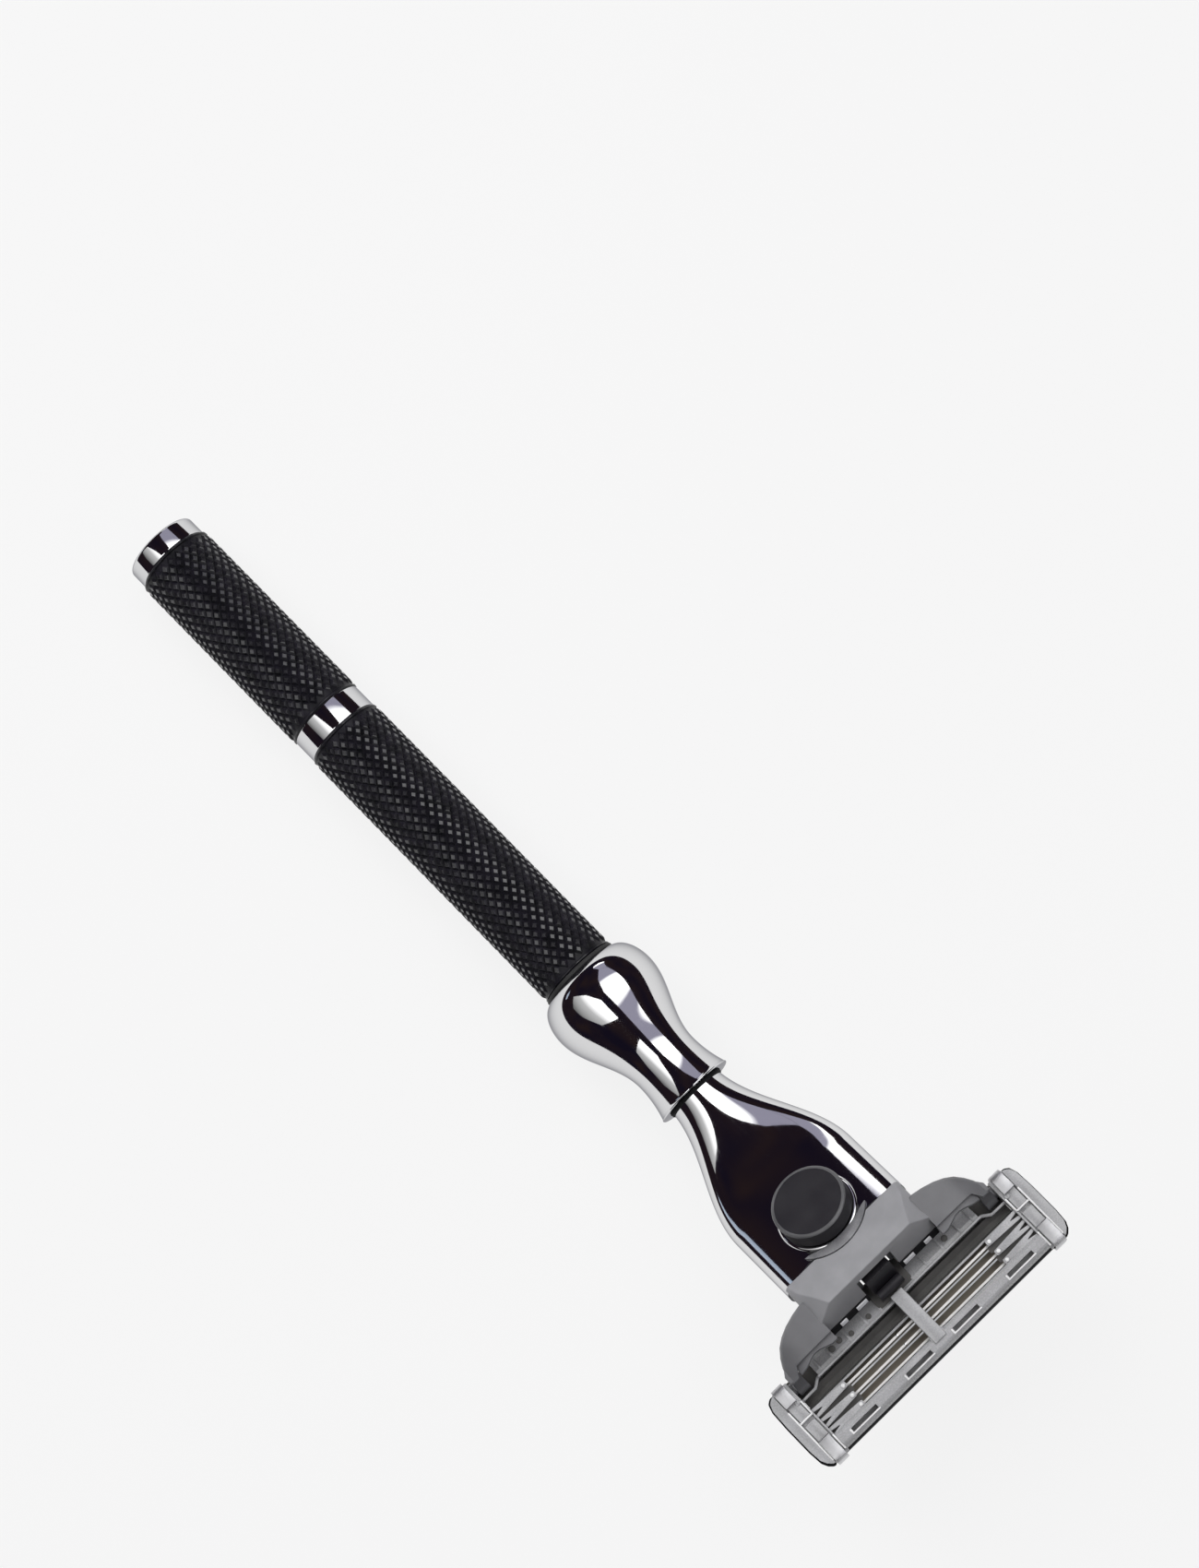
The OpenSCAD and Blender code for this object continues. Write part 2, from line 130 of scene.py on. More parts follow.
BUTTON_A = 5.6
BUTTON_R = 4.65
BUTTON_TOP = 5.7
BUTTON_BOTTOM = 3.1

# ---------------------------------------------------------------- mesh helpers


def smooth_step(t):
    c = min(max(t, 0.0), 1.0)
    return c * c * (3 - 2 * c)


def is_sharp(edge, sharp_deg):
    return len(edge.link_faces) == 2 and edge.calc_face_angle() > math.radians(sharp_deg)


def mark_sharp(bm, sharp_deg):
    """Shades a bmesh smooth, with its sharp edges marked."""
    bmesh.ops.recalc_face_normals(bm, faces=bm.faces)
    for face in bm.faces:
        face.smooth = True
    for edge in bm.edges:
        edge.smooth = not is_sharp(edge, sharp_deg)


def new_object(name, bm, material, sharp_deg=35.0):
    """Makes an object of a bmesh given in millimetres."""
    bmesh.ops.scale(bm, vec=(MM, MM, MM), verts=bm.verts)
    mark_sharp(bm, sharp_deg)
    mesh = bpy.data.meshes.new(name)
    bm.to_mesh(mesh)
    bm.free()
    mesh.materials.append(material)
    obj = bpy.data.objects.new(name, mesh)
    scene.collection.objects.link(obj)
    return obj


def add_rings(bm, rings, closed=False):
    """Skins a list of rings of points; closed joins the last ring to the first."""
    rows = [[bm.verts.new(p) for p in ring] for ring in rings]
    pairs = list(zip(rows, rows[1:]))
    if closed:
        pairs.append((rows[-1], rows[0]))
    for low, high in pairs:
        for k in range(len(low)):
            nxt = (k + 1) % len(low)
            bm.faces.new((low[k], low[nxt], high[nxt], high[k]))
    if not closed:
        bm.faces.new(rows[0])
        bm.faces.new(rows[-1])


def circle(centre, radius, sides):
    """A circle as a flat outline."""
    turns = [2 * math.pi * k / sides for k in range(sides)]
    return [(centre[0] + radius * math.cos(t), centre[1] + radius * math.sin(t)) for t in turns]


def arc(centre, radius, start_deg, end_deg, steps=6):
    """Points of an arc in a flat outline, from one angle to another."""
    angles = [math.radians(start_deg + (end_deg - start_deg) * i / steps) for i in range(steps + 1)]
    return [(centre[0] + radius * math.cos(a), centre[1] + radius * math.sin(a)) for a in angles]


def lathe(name, profile, material, sides=160, closed=False):
    """Turns a profile of (radius, y) points about the handle's axis."""
    bm = bmesh.new()
    add_rings(bm, [[(x, y, z) for x, z in circle((0, 0), r, sides)] for r, y in profile], closed)
    return new_object(name, bm, material)


def in_place(point):
    """For points that are in the razor's frame already."""
    return Vector(point)


def on_tongue(point):
    """From the tongue's frame (x, a along, b above) to the razor's frame."""
    x, a, b = point
    return Vector((x, TONGUE_Y + a * math.cos(RISE) - b * math.sin(RISE),
                   TONGUE_Z + a * math.sin(RISE) + b * math.cos(RISE)))


def on_unit(point):
    """From the blade unit's frame (x, y towards the cap edge, z towards the back) to the razor's."""
    return Vector((point[0], point[1] + PIVOT.y, point[2] + PIVOT.z))


def turned(name, centre_a, profile, material, closed=True, sides=128):
    """Turns a profile of (radius, height over the tongue) about an axis that stands on the tongue."""
    bm = bmesh.new()
    add_rings(bm, [[on_tongue((x, a, b)) for x, a in circle((0, centre_a), r, sides)]
                   for r, b in profile], closed)
    return new_object(name, bm, material)


def rounded(points, radius, steps=5):
    """A flat outline with its corners rounded; a corner may carry its own radius as a third number."""
    out = []
    count = len(points)
    straight = 1.55
    for i, point in enumerate(points):
        here = Vector(point[:2])
        r = point[2] if len(point) > 2 else radius
        back = Vector(points[i - 1][:2]) - here
        ahead = Vector(points[(i + 1) % count][:2]) - here
        half = back.angle(ahead) / 2
        reach = min(r / math.tan(half), back.length * 0.49, ahead.length * 0.49) if half < straight else 0
        if reach < 1e-4:
            out.append(tuple(here))
            continue
        start, end = here + back.normalized() * reach, here + ahead.normalized() * reach
        for k in range(steps + 1):
            t = k / steps
            out.append(tuple(start * (1 - t) ** 2 + here * 2 * t * (1 - t) + end * t ** 2))
    return out


def soften(bm, width, segments=2, sharp_deg=28.0):
    """Rounds the sharp edges of a closed shell."""
    bm.normal_update()
    edges = [edge for edge in bm.edges if is_sharp(edge, sharp_deg)]
    if width > 0 and edges:
        bmesh.ops.bevel(bm, geom=edges, offset=width, offset_type="OFFSET", segments=segments,
                        profile=0.5, affect="EDGES", clamp_overlap=True)
    return bm


def loft(rings, place=in_place, bevel=0.0, segments=2):
    """A closed shell through rings of points."""
    bm = bmesh.new()
    add_rings(bm, [[place(p) for p in ring] for ring in rings])
    bmesh.ops.recalc_face_normals(bm, faces=bm.faces)
    return soften(bm, bevel, segments)


def prism(axis, outline, start, end, place=in_place, bevel=0.06, segments=2):
    """A straight prism of a flat outline, along x (outline in y, z) or along z (outline in x, y)."""
    if axis == "x":
        rings = [[(t, u, v) for u, v in outline] for t in (start, end)]
    else:
        rings = [[(u, v, t) for u, v in outline] for t in (start, end)]
    return loft(rings, place, bevel, segments)


def block(low, high, place=in_place, bevel=0.06, segments=2):
    """A box between two corners."""
    outline = [(low[0], low[1]), (high[0], low[1]), (high[0], high[1]), (low[0], high[1])]
    return prism("z", outline, low[2], high[2], place, bevel, segments)


def side_block(side, low, high, bevel):
    """A box in the blade unit, given for the right side (1) and mirrored for the left (-1)."""
    x0, x1 = sorted((side * low[0], side * high[0]))
    return block((x0, *low[1:]), (x1, *high[1:]), on_unit, bevel)


def stud(centre, radius, z0, z1, place=in_place, bevel=0.05, sides=32):
    """A round post along z."""
    return prism("z", circle(centre, radius, sides), z0, z1, place, bevel)


def mirrored(outline, side):
    return [(side * point[0], *point[1:]) for point in outline]


def side_name(side):
    return "right" if side > 0 else "left"


def join(name, shells, material, sharp_deg=35.0):
    """One object from several closed shells."""
    whole = bmesh.new()
    for shell in shells:
        part = bpy.data.meshes.new("part")
        shell.to_mesh(part)
        shell.free()
        whole.from_mesh(part)
        bpy.data.meshes.remove(part)
    return new_object(name, whole, material, sharp_deg)


def carve(obj, cutters):
    """Cuts shells out of an object, one after the other. It keeps its one material."""
    material = obj.data.materials[0]
    for shell in cutters:
        tool = join("cutter", [shell], material)
        cut = obj.modifiers.new("cut", "BOOLEAN")
        cut.operation = "DIFFERENCE"
        cut.solver = "EXACT"
        cut.object = tool
        graph = bpy.context.evaluated_depsgraph_get()
        mesh = bpy.data.meshes.new_from_object(obj.evaluated_get(graph), depsgraph=graph)
        obj.modifiers.clear()
        obj.data = mesh
        bpy.data.objects.remove(tool)
    bm = bmesh.new()
    bm.from_mesh(obj.data)
    mark_sharp(bm, 30)
    bm.to_mesh(obj.data)
    bm.free()
    obj.data.materials.clear()
    obj.data.materials.append(material)
    return obj


# ---------------------------------------------------------------- materials


def grey(v):
    return (v, v, v)


class Nodes:
    """A short way to write a node material."""

    def __init__(self, name):
        self.material = bpy.data.materials.new(name)
        self.material.use_nodes = True
        self.tree = self.material.node_tree
        self.shader = self.tree.nodes["Principled BSDF"]

    def add(self, kind, inputs=None, **settings):
        node = self.tree.nodes.new(kind)
        for key, value in settings.items():
            setattr(node, key, value)
        for key, value in (inputs or {}).items():
            if isinstance(value, bpy.types.NodeSocket):
                self.tree.links.new(value, node.inputs[key])
            else:
                node.inputs[key].default_value = value
        return node

    def where(self):
        return self.add("ShaderNodeTexCoord").outputs["Object"]

    def noise(self, scale, detail=3.0, rough=0.5, stretch=(1, 1, 1)):
        turned = self.add("ShaderNodeMapping", {"Vector": self.where(), "Scale": stretch})
        noise = self.add("ShaderNodeTexNoise", {"Vector": turned.outputs["Vector"], "Scale": scale,
                                                "Detail": detail, "Roughness": rough})
        return noise.outputs["Fac"]

    def ramp(self, fac, stops):
        node = self.add("ShaderNodeValToRGB", {"Fac": fac})
        while len(node.color_ramp.elements) < len(stops):
            node.color_ramp.elements.new(0.5)
        for element, (place, colour) in zip(node.color_ramp.elements, stops):
            element.position = place
            element.color = (*colour, 1)
        return node.outputs["Color"]

    def remap(self, value, from_low, from_high, to_low=0.0, to_high=1.0):
        node = self.add("ShaderNodeMapRange", {"Value": value, "From Min": from_low,
                                               "From Max": from_high, "To Min": to_low,
                                               "To Max": to_high})
        return node.outputs["Result"]

    def spread(self, fac, low, high):
        """Spreads a noise, which lies mostly between 0.3 and 0.7, over a range."""
        return self.remap(fac, 0.3, 0.7, low, high)

    def along(self, axis):
        """The object's own x, y or z."""
        return self.add("ShaderNodeSeparateXYZ", {"Vector": self.where()}).outputs[axis]

    def bump(self, height, distance, strength=0.5):
        node = self.add("ShaderNodeBump", {"Height": height, "Distance": distance,
                                           "Strength": strength})
        self.tree.links.new(node.outputs["Normal"], self.shader.inputs["Normal"])

    def set(self, **inputs):
        """Sets or links the shader's sockets, named with _ for a space."""
        for key, value in inputs.items():
            socket = self.shader.inputs[key.replace("_", " ")]
            if isinstance(value, bpy.types.NodeSocket):
                self.tree.links.new(value, socket)
            elif isinstance(value, tuple):
                socket.default_value = (*value, 1)
            else:
                socket.default_value = value
        return self.material


FINE = 9000                      # scale of the finest noise
LINES_ALONG_X = (0.05, 1, 1)     # stretches a noise into lines
LINES_ALONG_Y = (1, 0.15, 1)
LINE_HEIGHT = 0.0000006


def polished_metal():
    """Mirror metal with faint wiping marks along the handle."""
    n = Nodes("polished_metal")
    streaks = n.noise(2600, 2, 0.5, LINES_ALONG_Y)
    tint = n.ramp(n.noise(60), [(0.3, (0.69, 0.69, 0.70)), (0.7, (0.74, 0.74, 0.745))])
    n.bump(streaks, 0.000002, 0.25)
    n.set(Specular_Tint=(0.4, 0.4, 0.42))
    return n.set(Base_Color=tint, Metallic=1.0, Roughness=n.spread(streaks, 0.03, 0.075))


def black_grip():
    """Black lacquer, glossy on the knurl's flat tops and dull down in its grooves."""
    n = Nodes("black_grip")
    tint = n.ramp(n.noise(700), [(0.3, (0.003, 0.003, 0.004)), (0.7, (0.009, 0.008, 0.012))])
    across = n.add("ShaderNodeVectorMath", {0: n.where(), 1: (1, 0, 1)}, operation="MULTIPLY")
    radius = n.add("ShaderNodeVectorMath", {0: across.outputs["Vector"]}, operation="LENGTH")
    gloss = n.remap(radius.outputs["Value"], (GRIP_R - 0.09) * MM, (GRIP_R - 0.02) * MM)
    n.bump(n.noise(FINE, 3, 0.6), 0.000002)
    n.set(Specular_IOR_Level=0.22, Coat_Weight=gloss, Coat_Roughness=0.2, Coat_IOR=1.62)
    return n.set(Base_Color=tint, Roughness=0.4)


def plastic(name, low, high, rough, specular=0.5, coat=0.0):
    """Moulded plastic or rubber between two colours, with a fine grain."""
    n = Nodes(name)
    grain = n.noise(5000, 4, 0.6)
    tint = n.ramp(n.noise(350, 4), [(0.3, low), (0.7, high)])
    n.bump(grain, 0.000003)
    n.set(Specular_IOR_Level=specular, Coat_Weight=coat, Coat_Roughness=0.15)
    return n.set(Base_Color=tint, Roughness=n.spread(grain, *rough))


def metal(name, low, high, rough):
    """Brushed metal between two colours, with its lines along x."""
    n = Nodes(name)
    lines = n.noise(FINE, 3, 0.5, LINES_ALONG_X)
    tint = n.ramp(n.noise(300), [(0.3, low), (0.7, high)])
    n.bump(lines, LINE_HEIGHT)
    return n.set(Base_Color=tint, Metallic=1.0, Roughness=n.spread(lines, *rough))


def support_steel():
    """Painted highlight along the top edge of each bent support, and painted olive shade down in the gaps."""
    n = Nodes("support_steel")
    lines = n.noise(FINE, 3, 0.5, LINES_ALONG_X)
    # painted light by height: olive shade low in the gaps, a highlight at the top edges
    height = n.remap(n.along("Z"), (PIVOT.z + 0.1) * MM, (PIVOT.z + 0.38) * MM)
    tint = n.ramp(height, [(0.0, (0.2, 0.18, 0.15)), (0.6, (0.22, 0.2, 0.17)), (1.0, (0.72, 0.71, 0.7))])
    n.bump(lines, LINE_HEIGHT)
    n.set(Metallic=n.ramp(height, [(0.0, grey(0.1)), (0.6, grey(0.2)), (1.0, grey(0.9))]))
    return n.set(Base_Color=tint, Roughness=n.spread(lines, 0.35, 0.5))


METALS = (
    ("steel", (0.5, 0.5, 0.52), (0.62, 0.62, 0.64), (0.25, 0.4)),
    ("blade_steel", (0.62, 0.63, 0.65), (0.78, 0.79, 0.8), (0.12, 0.25)),
    ("clip_metal", (0.55, 0.55, 0.56), (0.66, 0.66, 0.67), (0.42, 0.55)),
)
# name, darker and lighter colour, roughness, then specular and coat where they aren't the usual ones
PLASTICS = (
    ("charcoal_plastic", (0.011, 0.010, 0.013), (0.017, 0.016, 0.019), (0.4, 0.52), 0.35),
    ("chassis_plastic", (0.05, 0.05, 0.055), (0.075, 0.075, 0.08), (0.4, 0.55)),
    ("grey_plastic", (0.19, 0.19, 0.2), (0.225, 0.225, 0.235), (0.36, 0.48)),
    # next row: a darker copy of grey_plastic, painted shade on the wings
    ("wing_plastic_painted_shade", (0.095, 0.095, 0.1), (0.115, 0.115, 0.122), (0.36, 0.48)),
    ("housing_plastic", (0.26, 0.26, 0.265), (0.31, 0.31, 0.32), (0.22, 0.32), 0.5, 0.4),
    ("seal_rubber", (0.01, 0.01, 0.01), (0.02, 0.02, 0.02), (0.6, 0.75)),
    # next row also colours the painted shade pieces of the blade unit
    ("guard_rubber", (0.04, 0.038, 0.036), (0.062, 0.059, 0.056), (0.55, 0.7)),
    ("tab_plastic", (0.6, 0.6, 0.62), (0.7, 0.7, 0.72), (0.3, 0.4)),
    # next row: paler, a painted highlight round the button's face
    ("rim_painted_highlight", (0.055, 0.055, 0.058), (0.09, 0.09, 0.094), (0.3, 0.4)),
    # next row: grey, a painted reflection on the chrome boss
    ("boss_painted_reflection", (0.1, 0.1, 0.106), (0.2, 0.2, 0.21), (0.2, 0.3), 0.5, 0.5),
    # next row: pale, painted highlights on the housing's ridges, slot lips and finger tips
    ("painted_highlight", (0.55, 0.55, 0.55), (0.7, 0.7, 0.7), (0.25, 0.35)),
    # next row: near black, painted shade in grooves and gaps
    ("painted_shade_black", (0.004, 0.004, 0.005), (0.008, 0.008, 0.009), (0.7, 0.85), 0.2),
    ("strip_polymer", (0.5, 0.62, 0.64), (0.6, 0.72, 0.74), (0.35, 0.5)),
)
MAT = {"polished_metal": polished_metal(), "black_grip": black_grip(),
       "support_steel": support_steel()}
MAT.update((row[0], metal(*row)) for row in METALS)
MAT.update((row[0], plastic(*row)) for row in PLASTICS)

# ---------------------------------------------------------------- handle

BORE_R = 3.25
AXIS_R = 0.001


def end_cap():
    """A disc with rounded edges, on a spigot that goes into the rear grip."""
    edge, back_edge = 0.45, 0.2
    spigot_r, spigot_len = 3.1, 3.6
    profile = ([(AXIS_R, 0.0), (CAP_R - edge, 0.0)] + arc((CAP_R - edge, edge), edge, -90, 0)[1:]
               + arc((CAP_R - back_edge, CAP_END_Y - back_edge), back_edge, 0, 90)
               + [(spigot_r, CAP_END_Y), (spigot_r, CAP_END_Y + spigot_len),
                  (AXIS_R, CAP_END_Y + spigot_len)])
    return lathe("end_cap_turned", profile, MAT["polished_metal"])


def flat_ring(name, material, span_y, outer_r, bore_r, edge, steps):
    """A ring with rounded outer edges."""
    y0, y1 = span_y
    profile = ([(bore_r, y0)] + arc((outer_r - edge, y0 + edge), edge, -90, 0, steps)
               + arc((outer_r - edge, y1 - edge), edge, 0, 90, steps) + [(bore_r, y1)])
    return lathe(name, profile, MAT[material], closed=True)


def middle_ring():
    return flat_ring("middle_ring_turned", "polished_metal", RING_Y, RING_R, BORE_R, edge=0.14, steps=6)


def gasket():
    return flat_ring("neck_gasket_ring", "seal_rubber", GASKET_Y, GASKET_R, 3.2, edge=0.12, steps=4)


def neck():
    """The bulb, the waist and the flared rim, with a seat for the collar in front."""
    start = NECK_Y[0]
    waist = BULB_Y + WAIST_AHEAD
    back_r, shoulder_r = GRIP_R - 0.25, GRIP_R - 0.05
    bulb_steps, waist_steps, flare_steps = 24, 48, 20
    points = [(3.3, start), (back_r, start)]
    for i in range(1, bulb_steps + 1):
        t = math.radians(90 * i / bulb_steps)
        points.append((shoulder_r + (BULB_R - shoulder_r) * math.sin(t),
                       BULB_Y - BULB_BACK * math.cos(t)))
    for i in range(1, waist_steps + 1):
        t = i / waist_steps
        points.append((WAIST_R + (BULB_R - WAIST_R) * (1 + math.cos(math.pi * t)) / 2,
                       BULB_Y + WAIST_AHEAD * t))
    for i in range(1, flare_steps):
        t = i / flare_steps
        points.append((WAIST_R + (RIM_R - WAIST_R) * t * t, waist + RIM_AHEAD * t))
    edge = 0.16
    seat_r, seat_y = 4.1, RIM_Y - 1.2
    core_r, rod_r, core_y = 2.5, 1.6, start + 12
    points += arc((RIM_R - edge, RIM_Y - edge), edge, 0, 90)
    points += [(seat_r, RIM_Y), (seat_r, seat_y), (core_r, seat_y), (core_r, core_y),
               (rod_r, core_y), (rod_r, start)]
    return lathe("neck_turned", points, MAT["polished_metal"], sides=192, closed=True)


def collar_groove():
    """The groove between the neck's rim and the head, near black with painted shade."""
    inner_r, outer_r, front_r = 3.2, 4.02, 3.92
    back_y, side_y, front_y = RIM_Y - 1.1, RIM_Y + 0.3, RIM_Y + 0.42
    outline = [(inner_r, back_y), (outer_r, back_y), (outer_r, side_y), (front_r, front_y),
               (inner_r, front_y)]
    return lathe("collar_groove", outline, MAT["painted_shade_black"], closed=True)


KNURLS_ROUND = 26
KNURL_LEN = 1.64
KNURL_DEPTH = 0.24
KNURL_FLAT = 0.42        # reach of a diamond's flat top, as a share of the diamond's
KNURL_LAND = 0.55        # band without diamonds at each end of a grip


def knurled(name, y0, y1):
    """A grip cut with a diamond knurl: each diamond is a flat-topped pyramid."""
    bm = bmesh.new()
    rows = round((y1 - y0 - 2 * KNURL_LAND) / (KNURL_LEN / 2))
    step = (y1 - y0 - 2 * KNURL_LAND) / rows
    half_turns = 2 * KNURLS_ROUND
    turn = math.pi / KNURLS_ROUND
    groove_r, end_r, end_round = GRIP_R - KNURL_DEPTH, GRIP_R - 0.04, 0.18

    def new_vert(i, j, r):
        return bm.verts.new((r * math.cos(i * turn), y0 + KNURL_LAND + j * step, r * math.sin(i * turn)))

    grid = {(i, j): new_vert(i, j, groove_r)
            for j in range(rows + 1) for i in range(half_turns) if (i + j) % 2 == 0}

    def corner(i, j):
        return grid[i % half_turns, j]

    def bridge(low, high):
        for k in range(KNURLS_ROUND):
            nxt = (k + 1) % KNURLS_ROUND
            bm.faces.new((low[k], low[nxt], high[nxt], high[k]))

    for j in range(1, rows):
        for i in range((j + 1) % 2, half_turns, 2):
            around = [corner(i + 1, j), corner(i, j + 1), corner(i - 1, j), corner(i, j - 1)]
            tops = [new_vert(i + KNURL_FLAT, j, GRIP_R), new_vert(i, j + KNURL_FLAT, GRIP_R),
                    new_vert(i - KNURL_FLAT, j, GRIP_R), new_vert(i, j - KNURL_FLAT, GRIP_R)]
            bm.faces.new(tops)
            for k in range(4):
                nxt = (k + 1) % 4
                bm.faces.new((around[k], around[nxt], tops[nxt], tops[k]))
    for j, inner in ((0, 1), (rows, -1)):
        for i in range((j + 1) % 2, half_turns, 2):
            bm.faces.new((corner(i + 1, j), corner(i, j + inner), corner(i - 1, j)))
    ends = []
    for j, end_y, inward in ((0, y0, 1), (rows, y1, -1)):
        places = range(j % 2, half_turns, 2)
        ring = [corner(i, j) for i in places]
        for r, y in ((groove_r, y0 + KNURL_LAND + j * step - inward * 0.12),
                     (end_r, end_y + inward * 0.3), (end_r, end_y + inward * end_round),
                     (end_r - end_round, end_y), (BORE_R, end_y)):
            nxt_ring = [bm.verts.new((r * math.cos(i * turn), y, r * math.sin(i * turn))) for i in places]
            bridge(ring, nxt_ring)
            ring = nxt_ring
        ends.append(ring)
    first, last = ends
    if rows % 2 == 0:
        bridge(first, last)
    else:
        for k in range(KNURLS_ROUND):
            nxt = (k + 1) % KNURLS_ROUND
            bm.faces.new((first[k], first[nxt], last[k]))
            bm.faces.new((first[nxt], last[nxt], last[k]))
    return new_object(name, bm, MAT["black_grip"], 24)


# ---------------------------------------------------------------- head


def head_line(s):
    """Middle line of the head at distance s from the start of its bend: (y, z, slope)."""
    if s < 0:
        return BEND_Y + s, 0.0, 0.0
    if s < BEND_LEN:
        phi = s / BEND_R
        return BEND_Y + BEND_R * math.sin(phi), BEND_R * (1 - math.cos(phi)), phi
    a = s - BEND_LEN
    return TONGUE_Y + a * math.cos(RISE), TONGUE_Z + a * math.sin(RISE), RISE


def head_size(y):
    """Half width, half thickness and squareness of the head at y: round first, then wide and flat."""
    lead, widen_len, flatten_len = 0.7, 18, 15
    round_power, squarer = 2, 0.9
    widen = smooth_step((y - RIM_Y + lead) / widen_len)
    flatten = smooth_step((y - BEND_Y) / flatten_len)
    return (HEAD_BASE_R + (HEAD_W - HEAD_BASE_R) * widen,
            HEAD_BASE_R + (HEAD_H - HEAD_BASE_R) * flatten, round_power + squarer * flatten)


def power(v, p):
    return math.copysign(abs(v) ** p, v)


def head_half(name, side, split):
    """The shell (side 1) or the front cover (side -1): outer surface, thin wall and split edge."""
    across, steps = 56, 90
    end = BEND_LEN + SHELL_END_A
    rings = []
    for i in range(steps + 1):
        y, z, slope = head_line(HEAD_START + (end - HEAD_START) * i / steps)
        w, h, n = head_size(y)
        outer, inner = [], []
        for inset, points in ((0.0, outer), (HEAD_WALL, inner)):
            limit = -side * math.asin(min(1.0, (split / (h - inset)) ** (n / 2)))
            for k in range(across + 1):
                t = limit + (math.pi - 2 * limit) * k / across
                b = (h - inset) * power(math.sin(t), 2 / n) * side
                x = (w - inset) * power(math.cos(t), 2 / n)
                points.append((x, y - b * math.sin(slope), z + b * math.cos(slope)))
        rings.append(outer + inner[::-1])
    bm = bmesh.new()
    add_rings(bm, rings)
    bmesh.ops.triangulate(bm, faces=[f for f in bm.faces if len(f.verts) > 4])
    return new_object(name, bm, MAT["polished_metal"], 40)


def boss():
    """Raised round boss under the button, with a soft shoulder."""
    wide, tall = 0.45, 0.4
    shoulder = [(BOSS_R - wide + wide * math.cos(math.radians(t)),
                 BOSS_TOP - tall + tall * math.sin(math.radians(t))) for t in range(0, 91, 6)]
    profile = [(BOSS_R, BOSS_FOOT)] + shoulder + [(BOSS_BORE_R, BOSS_TOP), (BOSS_BORE_R, BOSS_FOOT)]
    return turned("button_boss", BOSS_A, profile, MAT["polished_metal"], sides=96)


def painted_reflection_crescent():
    """A pale crescent of painted reflection on the chrome boss, between the button and the yoke's notch."""
    outer, inner = [], []
    reach, steps = math.radians(52), 32
    for k in range(steps + 1):
        u = -1 + k / (steps / 2)
        angle = math.pi / 2 + reach * u
        wide = 0.06 + 1.35 * math.cos(u * math.pi / 2) ** 0.6
        for points, r in ((outer, LIP_R), (inner, LIP_R - wide)):
            points.append((r * math.cos(angle), BOSS_A + r * math.sin(angle)))
    shell = prism("z", outer + inner[::-1], 2.2, 2.96, on_tongue, 0.08)
    return join("painted_reflection_crescent", [shell], MAT["boss_painted_reflection"])


def release_button():
    """The button: rounded at its rim and dished on its face."""
    edge, foot, dish, rim_step = 0.42, 0.15, 0.18, 0.1
    face = BUTTON_TOP - rim_step
    profile = ([(AXIS_R, BUTTON_BOTTOM), (BUTTON_R - foot, BUTTON_BOTTOM),
                (BUTTON_R, BUTTON_BOTTOM + foot)]
               + arc((BUTTON_R - edge, BUTTON_TOP - edge - rim_step), edge, 0, 90, 8)
               + [(BUTTON_R * f, face - dish * (1 - f * f) * 0.5)
                  for f in (0.8, 0.65, 0.5, 0.35, 0.2, 0.001)])
    return turned("release_button_cap", BUTTON_A, profile, MAT["charcoal_plastic"], closed=False)


def button_rim():
    """The paler edge round the button's face, a painted highlight."""
    profile = [(4.25, 5.4), (4.25, 5.625), (4.3, 5.65), (4.48, 5.64), (4.62, 5.54), (4.68, 5.42),
               (4.5, 5.4)]
    return turned("release_button_rim", BUTTON_A, profile, MAT["rim_painted_highlight"])


def plunger_block():
    """The plunger's nose and its foot."""
    shells = [block((-1.9, 7.4, -1.2), (1.9, 15.1, 0.3), on_tongue, 0.12),
              block((-1.9, 15.0, -2.9), (1.9, 16.0, 0.3), on_tongue, 0.12)]
    return join("plunger_block", shells, MAT["charcoal_plastic"])


def coil(name, start, end, height, radius, wire, turns):
    """A coil spring along the tongue, with a hair of room at both ends."""
    per_turn, sides, room = 24, 8, 0.03
    steps = turns * per_turn
    low = start + wire + room
    run = end - start - 2 * (wire + room)
    rings = []
    for i in range(steps + 1):
        turn = 2 * math.pi * i / per_turn
        ring = []
        for k in range(sides):
            spin = 2 * math.pi * k / sides
            reach = radius + wire * math.cos(spin)
            ring.append((reach * math.cos(turn), low + run * i / steps + wire * math.sin(spin),
                         height + reach * math.sin(turn)))
        rings.append(ring)
    return join(name, [loft(rings, on_tongue)], MAT["steel"])


# ---------------------------------------------------------------- cartridge, in the blade unit's frame

CLIP_OUT = 0.3
UNIT_AHEAD = span("blade_housing", Y)[1] - PIVOT.y
UNIT_BEHIND = PIVOT.y - span("clip_left", Y)[0] - CLIP_OUT
UNIT_TOP = 2.2
FINGER_ROWS = (3.78, 5.3, 6.72)
FINGER_GAPS = (4.54, 6.01)
SLOT_Y = 8.15
SLOTS_X = (-12.7, -3.8, 3.8, 12.7)


def end_band(inset):
    """Outline of the round outer band at an end of the housing."""
    return [(18.7, -1.15 + inset), (19.2 - inset, -1.12 + inset), (19.75 - inset, -0.75 + inset),
            (20.08 - inset, 0.3), (20.2 - inset, 2.8), (20.2 - inset, 6.6), (20.06 - inset, 8.3 - inset),
            (19.7 - inset, 9.05 - inset), (19.15 - inset, 9.58 - inset), (18.7, 9.58 - inset)]


